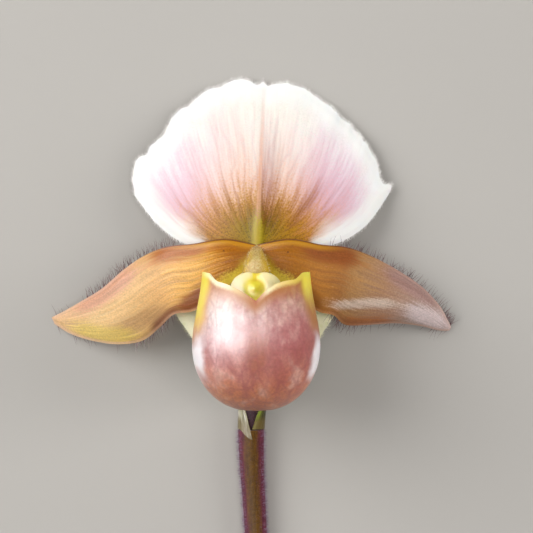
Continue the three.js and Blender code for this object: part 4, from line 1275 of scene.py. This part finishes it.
class ORCHID_OT_stage(bpy.types.Operator):
    """Sets the table, the soft studio lights and the camera over the bloom"""
    bl_idname = "orchid.stage"
    bl_label = "Table, Lights and Camera"

    def execute(self, context):
        bpy.ops.object.select_all(action="DESELECT")
        bpy.ops.mesh.primitive_plane_add(size=6, location=(0, 0, -0.05 * MM))
        table = bpy.context.object
        table.name = "table"
        bpy.ops.object.transform_apply(location=True, rotation=True, scale=True)
        table.data.materials.append(table_top(context.scene.orchid_colours))

        target = Vector((0.0, 0.018, 0.02))  # metres, the middle of the bloom
        # the window is seen only in the gloss of the bloom, and the softboxes only light it
        for name, direction, distance, width, height, power, in_gloss in (
            ("window", (-0.56, 0.35, 0.72), 0.9, 1.05, 0.9, 43.0, True),
            ("key softbox", (-0.70, 0.34, 0.60), 0.9, 0.7, 0.9, 7.6, False),
            ("upper softbox", (0.12, -0.08, 0.99), 1.3, 0.9, 0.9, 6.0, False),
            ("right strip", (0.92, 0.1, 0.38), 0.9, 0.3, 0.9, 4.4, False),
        ):
            aim = Vector(direction).normalized()
            bpy.ops.object.light_add(type="AREA", location=target + aim * distance)
            light = bpy.context.object
            light.name = name
            light.data.shape = "ELLIPSE"
            light.data.size, light.data.size_y = width, height
            light.data.energy = power
            light.visible_glossy = in_gloss
            light.visible_diffuse = not in_gloss
            light.rotation_euler = aim.to_track_quat("Z", "Y").to_euler()

        world = bpy.data.worlds.new("studio")
        world.use_nodes = True
        fill(world.node_tree.nodes["Background"], {"Color": "#E8E8EA", "Strength": 0.18})
        context.scene.world = world

        bpy.ops.object.camera_add(location=[c * MM for c in CAMERA], rotation=(0, 0, 0))
        camera = bpy.context.object
        camera.data.sensor_width = SENSOR
        camera.data.lens = LENS
        context.scene.camera = camera
        context.scene.view_settings.view_transform = "Standard"
        return {"FINISHED"}


class VIEW3D_PT_orchid(bpy.types.Panel):
    """Lists the bloom's sizes, colours and pieces"""
    bl_label = "Slipper Orchid"
    bl_idname = "VIEW3D_PT_orchid"
    bl_space_type = "VIEW_3D"
    bl_region_type = "UI"
    bl_category = "Orchid"

    def draw(self, context):
        column = self.layout.column(align=True)
        for operator in PIECES:
            column.operator(operator.bl_idname)
        for group in (context.scene.orchid_sizes, context.scene.orchid_colours):
            column = self.layout.column()
            for key in group.bl_rna.properties.keys():
                if key not in ("rna_type", "name"):
                    column.prop(group, key)


PIECES = (
    ORCHID_OT_dorsal_sepal, ORCHID_OT_synsepal, ORCHID_OT_petals, ORCHID_OT_lip, ORCHID_OT_column,
    ORCHID_OT_stem, ORCHID_OT_stage,
)
CLASSES = (OrchidSizes, OrchidColours, *PIECES, VIEW3D_PT_orchid)


def register():
    for cls in CLASSES:
        bpy.utils.register_class(cls)
    bpy.types.Scene.orchid_sizes = bpy.props.PointerProperty(type=OrchidSizes)
    bpy.types.Scene.orchid_colours = bpy.props.PointerProperty(type=OrchidColours)


def unregister():
    del bpy.types.Scene.orchid_colours
    del bpy.types.Scene.orchid_sizes
    for cls in reversed(CLASSES):
        bpy.utils.unregister_class(cls)


def main():
    register()
    for piece in PIECES:
        group, name = piece.bl_idname.split(".")
        getattr(getattr(bpy.ops, group), name)()


if __name__ == "__main__":
    main()
